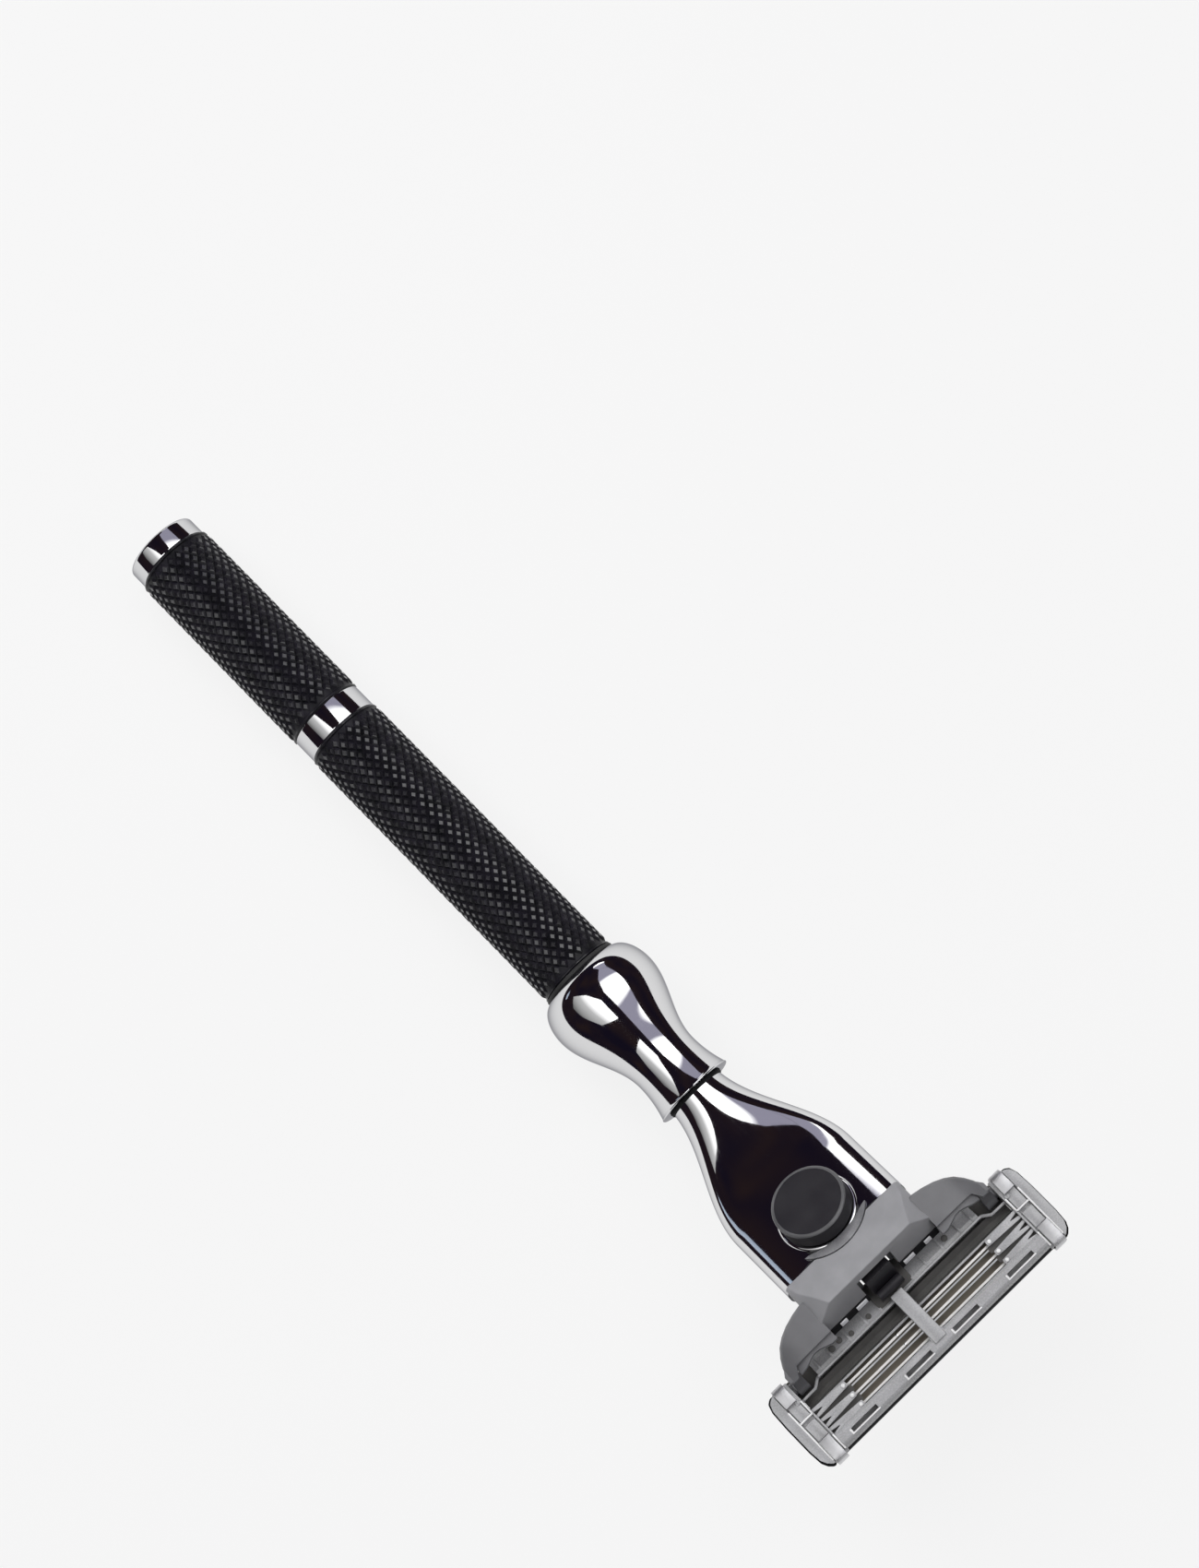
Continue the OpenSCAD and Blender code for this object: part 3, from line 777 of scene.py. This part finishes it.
def housing_end(side):
    """One end of the housing: a round outer band, and a stepped panel with ridges inside it."""
    band = rounded(mirrored(end_band(0.2), side), 0.5, 3)
    shells = [prism("z", band, 0.5, UNIT_TOP, on_unit, 0.34, 4),
              prism("z", band, -UNIT_TOP, -1.7, on_unit, 0.15, 3)]
    for low, high in (((16.55, -1.15, -2.15), (18.8, 9.45, 1.5)), ((16.95, 0.4, 0.8), (18.5, 3.45, 2.0)),
                      ((16.95, 4.1, 0.8), (18.5, 6.45, 1.92)), ((16.55, 3.5, 0.8), (16.82, 9.2, 1.95))):
        shells.append(side_block(side, low, high, 0.09))
    shells.append(stud((side * 17.15, 1.5), 0.34, 1.5, 2.12, on_unit, 0.1))
    return shells


def finger_shells(side):
    """Three fingers that hold the blade supports down, each split at its outer end."""
    shells = []
    for row in FINGER_ROWS:
        outline = [(11.5, row - 0.36, 0.15), (11.5, row + 0.36, 0.15), (15.2, row + 0.56),
                   (16.7, row + 0.62), (16.7, row + 0.26), (15.2, row), (16.7, row - 0.26),
                   (16.7, row - 0.62), (15.2, row - 0.56)]
        shells.append(prism("z", rounded(mirrored(outline, side), 0.05, 2), 0.75, 1.55, on_unit, 0.1))
    return shells


def cap_bar():
    """The bar over the strip, along the cap edge, with its four slots."""
    outline = rounded([(7.02, -1.55), (7.02, 1.6, 0.1), (7.4, 2.02), (8.5, 2.16), (8.9, 2.0),
                       (9.15, 1.45), (9.22, 0.9), (9.22, -1.55)], 0.35, 3)
    bar = join("cap_bar", [prism("x", outline, -16.6, 16.6, on_unit, 0.0)], MAT["housing_plastic"])
    half, wide = 2.0, 0.27
    return carve(bar, [block((x - half, SLOT_Y - wide, 0.2), (x + half, SLOT_Y + wide, 4), on_unit, 0.0)
                       for x in SLOTS_X])


def housing_frame():
    """The rest of the housing: ends, fingers, guard bar, ribs and gussets."""
    guard = rounded([(1.0, -2.0), (1.0, 0.95), (0.35, 0.9), (-0.7, 0.15), (-3.0, -1.15), (-3.0, -2.0)],
                    0.15, 3)
    edge = [(-16.7, 1.9), (-14.35, 1.86), (-13.35, 1.15), (13.35, 1.15), (14.35, 1.86), (16.7, 1.9),
            (16.7, 1.56), (14.5, 1.52), (13.5, 0.8), (-13.5, 0.8), (-14.5, 1.52), (-16.7, 1.56)]
    shells = housing_end(1) + housing_end(-1) + finger_shells(1) + finger_shells(-1)
    shells += [
        prism("x", guard, -13.1, 13.1, on_unit, 0.06),
        prism("z", edge, -1.6, 0.6, on_unit, 0.07),
        block((-13.3, 0.82, 0.4), (13.3, 1.14, 1.42), on_unit, 0.07),
        block((-0.9, 0.35, 0.6), (0.9, 7.9, 2.28), on_unit, 0.14, 3),
        block((-1.05, 6.9, 0.9), (1.05, 8.3, 2.1), on_unit, 0.1),
        block((-16.6, 3.14, -0.9), (16.6, 3.42, 0.42), on_unit, 0.05),
    ]
    gusset = [(0.9, -0.5), (0.9, 1.05), (0.1, 0.98), (-2.2, -0.6), (-2.2, -0.9)]
    for x in (2.6, 4.9, 7.6, 10.4, 12.4):
        for side in (1, -1):
            shells.append(prism("x", gusset, side * x - 0.16, side * x + 0.16, on_unit, 0.05))
    return join("housing_frame", shells, MAT["housing_plastic"])


def painted_highlight_marks():
    """Painted highlights: the ridges of the end panels, the slots' lips and the fingers' round tips, made
    pale.
    """
    shells = []
    for side in (1, -1):
        for low, high in (((16.95, 6.6, 1.4), (18.5, 6.9, 2.1)), ((18.62, 1.6, 1.4), (18.86, 9.1, 2.24)),
                          ((16.75, 3.42, 1.4), (18.7, 3.66, 2.12)), ((16.6, 1.6, 1.4), (16.85, 3.6, 2.05)),
                          ((16.6, 6.9, 1.4), (16.85, 9.1, 2.05))):
            shells.append(side_block(side, low, high, 0.08))
        for row in FINGER_ROWS:
            shells.append(stud((side * 11.95, row), 0.26, 1.4, 1.72, on_unit, 0.12, 20))
    for x in SLOTS_X:
        shells.append(block((x - 2.15, 8.46, 1.5), (x + 2.3, 8.64, 2.22), on_unit, 0.07))
        shells.append(block((x + 2.08, 7.9, 1.5), (x + 2.3, 8.6, 2.2), on_unit, 0.07))
    return join("housing_painted_highlights", shells, MAT["painted_highlight"])


def cam():
    """The round cam over the guard that the plunger presses on."""
    y, z, r = -0.486, 2.757, 0.6
    outline = [(y + r * math.cos(math.radians(a)), z + r * math.sin(math.radians(a)))
               for a in range(0, 271, 15)]
    outline += [(y + 0.05, z - r), (y + 0.05, 0.5), (y + r, 0.5)]
    return join("plunger_cam", [prism("x", outline, -1.8, 1.8, on_unit, 0.05)], MAT["charcoal_plastic"])


def painted_shade_web():
    """Painted shade: dark pieces in the trough between the guard and the first blade, and in the gaps between
    the fingers.
    """
    trough = [(1.45, -2.0), (1.45, -0.4), (2.2, -0.75), (2.85, -0.62), (2.85, -0.95), (2.1, -1.7)]
    shells = [prism("x", trough, -16.5, 16.5, on_unit, 0.03)]
    low, high = 0.76, 0.9
    for side in (1, -1):
        for y in FINGER_GAPS:
            shells.append(side_block(side, (11.2, y - 0.42, low), (16.6, y + 0.42, high), 0.0))
        for y in FINGER_ROWS:
            shells.append(side_block(side, (15.0, y - 0.34, low), (16.7, y + 0.34, high), 0.0))
    # dark discs: painted shade in holes
    for x, y, r in ((9.9, -0.2, 0.42), (8.6, -0.35, 0.4), (7.0, 0.1, 0.34), (4.2, 0.1, 0.34),
                    (-8.5, -0.2, 0.4)):
        shells.append(stud((x, y), r, 0.0, 0.98 + 0.6 * min(y, 0.0), on_unit, 0.03, 20))
    # dark blocks: painted shade under both ends and in the plunger's pocket
    for side in (1, -1):
        shells.append(side_block(side, (12.9, -1.15, -2.1), (16.6, 1.6, -1.35), 0.05))
    shells.append(block((-2.7, -2.9, -1.3), (2.7, 0.6, 1.0), on_unit, 0.05))
    return join("guard_painted_shade", shells, MAT["guard_rubber"])


def painted_shade_skirt():
    """Painted shade along the lower edge of the housing, just outside its pale top, and along the cap edge.
    """
    shells = [prism("z", rounded(mirrored(end_band(0.0), side), 0.5, 3), -UNIT_TOP + 0.3, 0.7, on_unit, 0.12)
              for side in (1, -1)]
    edge = rounded([(8.6, -1.55), (8.6, 1.0), (9.2, 1.05), (9.44, 0.6), (9.5, -0.6), (9.4, -1.6)], 0.12, 3)
    shells.append(prism("x", edge, -18.9, 18.9, on_unit, 0.05))
    return join("housing_painted_shade", shells, MAT["painted_shade_black"])


def clip(side):
    """A folded metal strap round one end of the blade unit, open over the blades."""
    thick, turn_out, turn_in = 0.3, 1.1, 0.8
    back_lip, front_lip = 2.7, 3.4
    inside_x, outside_x = 17.0, 18.6
    y0, y1, z = -UNIT_BEHIND - CLIP_OUT, UNIT_AHEAD + CLIP_OUT, UNIT_TOP + CLIP_OUT
    outer = rounded([(y0 + back_lip, z, 0.0), (y0, z, turn_out), (y0, -z, turn_out), (y1, -z, turn_out),
                     (y1, z, turn_out), (y1 - front_lip, z, 0.0)], 0.0, 7)
    inner = rounded([(y1 - front_lip, z - thick, 0.0), (y1 - thick, z - thick, turn_in),
                     (y1 - thick, -z + thick, turn_in), (y0 + thick, -z + thick, turn_in),
                     (y0 + thick, z - thick, turn_in), (y0 + back_lip, z - thick, 0.0)], 0.0, 7)
    outline = outer + inner
    bm = bmesh.new()
    rows = [[bm.verts.new(on_unit((side * x, y, z))) for y, z in outline] for x in (inside_x, outside_x)]
    count, half = len(outline), len(outer)
    for k in range(count):
        nxt = (k + 1) % count
        bm.faces.new((rows[0][k], rows[0][nxt], rows[1][nxt], rows[1][k]))
    for row in rows:
        for k in range(half - 1):
            bm.faces.new((row[k], row[k + 1], row[count - 2 - k], row[count - 1 - k]))
    bmesh.ops.recalc_face_normals(bm, faces=bm.faces)
    soften(bm, 0.06, 2, 50)
    return new_object("clip_strap_" + side_name(side), bm, MAT["clip_metal"])


def guard_fins():
    """The guard strip's rubber bed and its five fins."""
    half, pitch = 14.0, 0.36
    shells = [block((-half, -0.45, -2.2), (half, 1.45, -1.95), on_unit, 0.05)]
    for k in range(5):
        y = -0.3 + k * pitch
        fin = rounded([(y, -2.1), (y + 0.06, -2.45), (y + 0.16, -2.45), (y + 0.24, -2.1)], 0.04, 2)
        shells.append(prism("x", fin, -half, half, on_unit, 0.03))
    return join("guard_fin_strip", shells, MAT["guard_rubber"])


def comfort_strip():
    """The lubricating strip under the cap bar."""
    outline = rounded([(7.6, -1.6), (7.6, -2.15), (7.85, -2.34), (9.05, -2.34), (9.3, -2.1), (9.3, -1.6)],
                      0.12, 4)
    shell = prism("x", outline, -16.2, 16.2, on_unit, 0.06)
    return join("comfort_strip", [shell], MAT["strip_polymer"])


def weld_dot(number):
    """The spot weld that holds a blade on its support."""
    x, first_y, blade_pitch = 3.4, 3.96, 1.4
    dot = stud((x, first_y + blade_pitch * (number - 1)), 0.17, 0.35, 0.56, on_unit, 0.08, 16)
    return join("weld_dot_%d" % number, [dot], MAT["blade_steel"])


# ---------------------------------------------------------------- yoke

YOKE_A = (10.25, 15.9)
YOKE_HALF = 9.1
YOKE_BOTTOM, YOKE_TOP = -2.5, 2.9
NOTCH_R = 6.35
WING_Y = TONGUE_Y + 3.0


def yoke_block():
    """The yoke's body: a wedge whose top narrows to the front between two corner facets."""
    rear, front = YOKE_A

    def ring(a, top_half, facet_b, top_b):
        right = [(YOKE_HALF, a, YOKE_BOTTOM), (YOKE_HALF, a, facet_b), (top_half, a, top_b)]
        return right + [(-x, y, z) for x, y, z in right[::-1]]

    rings = [ring(rear, 8.75, 2.55, YOKE_TOP), ring(rear + 1.6, 8.45, 2.2, YOKE_TOP),
             ring(front - 1.4, 7.1, 1.0, YOKE_TOP), ring(front, 6.5, 0.5, YOKE_TOP - 0.05)]
    piece = join("yoke_body", [loft(rings, on_tongue, 0.14, 3)], MAT["grey_plastic"])
    return carve(piece, [block((-7.8, 0, -1.6), (7.8, 15.0, 1.8), on_tongue, 0.0),
                         block((-2.7, 9.0, -9), (2.7, 25, 1.6), on_tongue, 0.0),
                         stud((0, BOSS_A), NOTCH_R, -1.6, 9, on_tongue, 0.0, 96)])


def wing(side):
    """One wing: a curved plate that falls from the block to the arm, with a stepped front ledge."""
    rear_edge = [(8.6, 6.9), (9.1, 6.95), (10.5, 7.2), (12.0, 7.62), (13.2, 8.15), (14.2, 8.85),
                 (15.0, 9.72), (15.6, 10.7), (16.0, 11.8), (16.2, 13.0)]
    bend_x, round_y = 14.3, 0.34
    ledge_y, ledge_wave, wave_x = WING_Y + 12.55, 0.42, 11.6

    def top(x):
        return PIVOT.z + 5.15 - 0.35 * smooth_step((x - 9) / 4) - 2.35 * smooth_step((x - 12.4) / 5.2)

    def bottom(x):
        return PIVOT.z + 3.4 - 2.3 * smooth_step((x - 14.2) / 2.0)

    def front(x):
        return WING_Y + (11.75 if x < bend_x else 11.75 + 1.2 * smooth_step((x - bend_x) / 0.7))

    def ledge_front(x):
        wave = ledge_wave * math.cos((x - wave_x) / 2.6 * math.pi) if x < bend_x else -ledge_wave
        return ledge_y - wave * 0.8

    def section(x, points):
        return [(side * x, y, z) for y, z in points]

    plate = []
    for x, rear in rear_edge:
        y, z, low = WING_Y + rear, top(x), bottom(x)
        plate.append(section(x, [(y + round_y * 1.2, low), (y, low + 0.25), (y, z - 0.75),
                                 (y + round_y * 0.35, z - 0.3), (y + round_y, z - 0.06),
                                 (y + round_y * 2.2, z), (front(x) - 0.1, z), (front(x), z - 0.1),
                                 (front(x), low)]))
    ledge = [section(x, [(WING_Y + 10.0, bottom(x)), (WING_Y + 10.0, top(x) - 0.42),
                         (ledge_front(x) - 0.12, top(x) - 0.46), (ledge_front(x), top(x) - 0.62),
                         (ledge_front(x), bottom(x))])
             for x in (8.6, 9.4, 10.2, 11.0, 11.8, 12.6, 13.4, 14.2, 14.5)]

    def arm(x, back):
        return section(x, [(back, 3.2), (-0.45, 3.15), (-0.25, 2.7), (0.3, 1.45)]
                       + arc((0, 0), 1.18, 58, -190, 20) + [(back, 1.6)])

    arms = [arm(14.6, -2.6), arm(15.3, -2.6), arm(15.8, -2.0), arm(16.2, -1.45)]
    pin = circle((PIVOT.y, PIVOT.z), 0.8, 32)
    shells = [loft(plate), loft(ledge), loft(arms, on_unit, 0.1, 3),
              loft([section(16.1, pin), section(18.3, pin)], in_place, 0.1)]
    # the wings take a darker copy of the yoke's plastic: painted shade
    return join("yoke_wing_" + side_name(side), shells, MAT["wing_plastic_painted_shade"], 32)


def yoke_tabs():
    """Four small pale tabs along the yoke's lower front edge."""
    shells = [block((x - half, 15.85, -2.5), (x + half, 16.1, -1.75), on_tongue, 0.06)
              for x, half in ((6.7, 0.5), (3.8, 0.8), (-3.9, 0.8), (-6.9, 0.5))]
    return join("yoke_front_tabs", shells, MAT["tab_plastic"])


def yoke_painted_shadow():
    """Painted shadow: a dark strip along the yoke's lower front edge, behind the tabs."""
    shells = [block((x - 3.0, 15.7, -2.75), (x + 3.0, 15.98, -1.45), on_tongue, 0.05) for x in (5.6, -5.6)]
    return join("yoke_front_painted_shadow", shells, MAT["painted_shade_black"])


# ---------------------------------------------------------------- assemble

slots = {entry["node"]: entry["material_slot"] for entry in frame["record"]["subparts"]}


def fit(piece, body, slot, *nodes):
    """Fastens a piece to a body and hides the CAD nodes it stands for; its slot is not used."""
    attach(piece, body)
    if nodes:
        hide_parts(*nodes)


def spring(node, start, end, height, radius, wire, turns):
    """A coil spring, fastened to the handle with a mesh of its own."""
    piece = coil(node + "_coil", start, end, height, radius, wire, turns)
    fit(piece, "handle", "steel", node)
    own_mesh(piece)


for piece, node in (
        (end_cap(), "end_cap"),
        (middle_ring(), "middle_ring"),
        (neck(), "neck"),
        (gasket(), "neck_gasket"),
        (knurled("rear_grip_knurl", *REAR_Y), "rear_grip"),
        (knurled("front_grip_knurl", *FRONT_Y), "front_grip"),
        (head_half("head_shell_skin", 1, SHELL_SPLIT), "head_shell"),
        (head_half("front_cover_skin", -1, COVER_SPLIT), "front_cover")):
    fit(piece, "handle", slots[node], node)
fit(boss(), "handle", "polished_metal")
fit(painted_reflection_crescent(), "handle", "polished_metal")
fit(release_button(), "button", "charcoal_plastic", "release_button")
fit(button_rim(), "button", "charcoal_plastic")
fit(plunger_block(), "plunger", "charcoal_plastic", "plunger")
spring("button_spring", start=8.6, end=12.3, height=1.12,
       radius=0.38, wire=0.09, turns=7)
spring("plunger_spring", start=1.8, end=7.4, height=-0.4,
       radius=0.62, wire=0.14, turns=9)

fit(cap_bar(), "blade_unit", "housing_plastic")
fit(housing_frame(), "blade_unit", "housing_plastic", "blade_housing")
fit(painted_highlight_marks(), "blade_unit", "housing_plastic")
fit(cam(), "blade_unit", "housing_plastic")
fit(painted_shade_web(), "blade_unit", "guard_rubber")
fit(clip(1), "blade_unit", "clip_metal", "clip_right")
fit(clip(-1), "blade_unit", "clip_metal", "clip_left")
fit(guard_fins(), "blade_unit", "guard_rubber", "guard_strip")
fit(comfort_strip(), "blade_unit", "strip_polymer", "lubricating_strip")
fit(weld_dot(1), "blade_1", "blade_steel")
fit(weld_dot(2), "blade_2", "blade_steel")

fit(yoke_block(), "connector", "grey_plastic", "connector_yoke")
fit(wing(1), "connector", "grey_plastic")
fit(wing(-1), "connector", "grey_plastic")
fit(yoke_tabs(), "connector", "grey_plastic")
fit(yoke_painted_shadow(), "connector", "grey_plastic")
fit(collar_groove(), "handle", "seal_rubber")
fit(painted_shade_skirt(), "blade_unit", "guard_rubber")

# The CAD nodes that stay visible get their node materials
for node, slot in slots.items():
    obj = frame["nodes"][node]
    if not obj.hide_render:
        obj.data.materials.clear()
        obj.data.materials.append(MAT[slot])

# ---------------------------------------------------------------- stage


def floor():
    """Pale paper that the razor lies on with its bulb and its rear end."""
    half, sink = 3000, 0.00005
    bm = bmesh.new()
    bm.faces.new([bm.verts.new((x * half, y * half, 0)) for x, y in ((-1, -1), (1, -1), (1, 1), (-1, 1))])
    n = Nodes("floor_paper")
    n.set(Base_Color=n.ramp(n.noise(3), [(0.3, grey(0.06)), (0.7, grey(0.065))]), Roughness=0.9)
    n.set(Emission_Color=grey(1.0), Emission_Strength=0.84, Specular_IOR_Level=0.0)
    obj = new_object("floor", bm, n.material)
    tilt = math.atan2(BULB_R - GRIP_R, BULB_Y - REAR_Y[0])
    obj.rotation_euler = (-tilt, 0, 0)
    obj.location = (0, BULB_Y * MM, span("neck", Z)[0] * MM - sink)


def world():
    """A dark studio: almost black overhead, with faint warm and cool patches for the metal to reflect."""
    w = bpy.data.worlds.new("studio")
    scene.world = w
    w.use_nodes = True
    tree = w.node_tree
    where = tree.nodes.new("ShaderNodeTexCoord")
    patches = tree.nodes.new("ShaderNodeTexNoise")
    patches.inputs["Scale"].default_value = 2.2
    patches.inputs["Detail"].default_value = 1.0
    tint = tree.nodes.new("ShaderNodeValToRGB")
    cool, warm = tint.color_ramp.elements
    cool.position, cool.color = 0.35, (0.008, 0.006, 0.014, 1)
    warm.position, warm.color = 0.75, (0.020, 0.012, 0.013, 1)
    tree.links.new(where.outputs["Generated"], patches.inputs["Vector"])
    tree.links.new(patches.outputs["Fac"], tint.inputs["Fac"])
    tree.links.new(tint.outputs["Color"], tree.nodes["Background"].inputs["Color"])


def soft_light(name, at, aim, size, power_w):
    """A rectangular light that brightens surfaces and isn't seen in reflections."""
    data = bpy.data.lights.new(name, "AREA")
    data.shape = "RECTANGLE"
    data.size, data.size_y = size
    data.energy = power_w
    obj = bpy.data.objects.new(name, data)
    scene.collection.objects.link(obj)
    obj.location = at
    obj.rotation_euler = (Vector(aim) - Vector(at)).to_track_quat("-Z", "Y").to_euler()
    obj.visible_glossy = False
    obj.visible_camera = False


def soft_panel(name, corners, grade, strength):
    """A flat glowing panel; grade is (axis, start, end, stops of colour from start to end)."""
    axis, start, end, stops = grade
    bm = bmesh.new()
    bm.faces.new([bm.verts.new(Vector(corner) / MM) for corner in corners])
    n = Nodes(name + "_glow")
    colour = n.ramp(n.remap(n.along(axis), start, end), stops)
    glow = n.add("ShaderNodeEmission", {"Color": colour, "Strength": strength})
    n.tree.links.new(glow.outputs["Emission"], n.tree.nodes["Material Output"].inputs["Surface"])
    obj = new_object(name, bm, n.material)
    obj.visible_camera = False


def ceiling_panel(name, outline, grade, strength):
    """A glowing panel level above the razor."""
    soft_panel(name, [(x, y, 0.6) for x, y in outline], grade, strength)


def camera():
    """Looks down on the button side, with the handle running from upper left to lower right."""
    at = Vector((0.01662, 0.15535, 0.4759))
    aim = Vector((-0.01803, 0.0608, 0.0))
    turn = math.radians(-133.95)
    data = bpy.data.cameras.new("camera")
    data.sensor_fit = "VERTICAL"
    data.sensor_height = 36
    data.lens = 91.08
    obj = bpy.data.objects.new("camera", data)
    scene.collection.objects.link(obj)
    forward = (aim - at).normalized()
    right = forward.cross(Vector((math.cos(turn), math.sin(turn), 0))).normalized()
    up = right.cross(forward)
    obj.matrix_world = Matrix((right, up, -forward)).transposed().to_4x4()
    obj.location = at
    scene.camera = obj


WHITE = grey(1.0)
VIOLET = (0.15, 0.145, 0.185)
KEY, SIDE, FRONT = 2.4, 0.9, 0.45        # strengths of the panels

floor()
world()
ceiling_panel("left_panel",
              [(-0.10, 0.95), (-0.65, 0.95), (-0.75, 0.12), (-0.72, -0.55), (-0.45, -0.65), (-0.17, -0.25),
               (-0.07, 0.05)],
              ("Y", -0.65, 0.95, [(0.0, VIOLET), (0.28, VIOLET), (0.335, WHITE), (0.6, WHITE),
                                  (0.66, VIOLET), (0.8, VIOLET), (0.86, WHITE)]), KEY)
ceiling_panel("left_far",
              [(-0.45, -0.66), (-0.72, -0.56), (-0.92, -0.95), (-1.3, -1.5), (-1.05, -1.8), (-0.6, -1.5),
               (-0.46, -1.15)],
              ("Y", -1.7, -0.66, [(0.0, WHITE), (0.3, WHITE), (0.46, VIOLET), (1.0, VIOLET)]), KEY)
ceiling_panel("right_panel",
              [(0.10, 0.50), (0.08, 0.12), (0.25, -0.2), (0.65, -0.65), (1.0, -0.4), (0.85, 0.1), (0.6, 0.5)],
              ("X", 0.08, 0.9, [(0.0, WHITE), (0.14, grey(0.85)), (0.42, grey(0.28)), (1.0, grey(0.08))]),
              KEY)
ceiling_panel("right_far", [(1.1, -1.5), (1.5, -1.6), (2.1, -2.2), (1.6, -2.35), (0.95, -1.75)],
              ("X", 0.9, 2.1, [(0.0, (0.42, 0.5, 0.62)), (1.0, (0.7, 0.8, 0.95))]), SIDE)
soft_panel("front_panel", [(-0.5, 1.3, 0.1), (0.5, 1.3, 0.1), (0.5, 1.3, 0.75), (-0.5, 1.3, 0.75)],
           ("Z", 0.1, 0.75, [(0.0, grey(0.6)), (1.0, WHITE)]), FRONT)
soft_light("fill", at=(0.0, -0.55, 0.75), aim=(0, 0.08, 0), size=(0.7, 0.7), power_w=10)
camera()
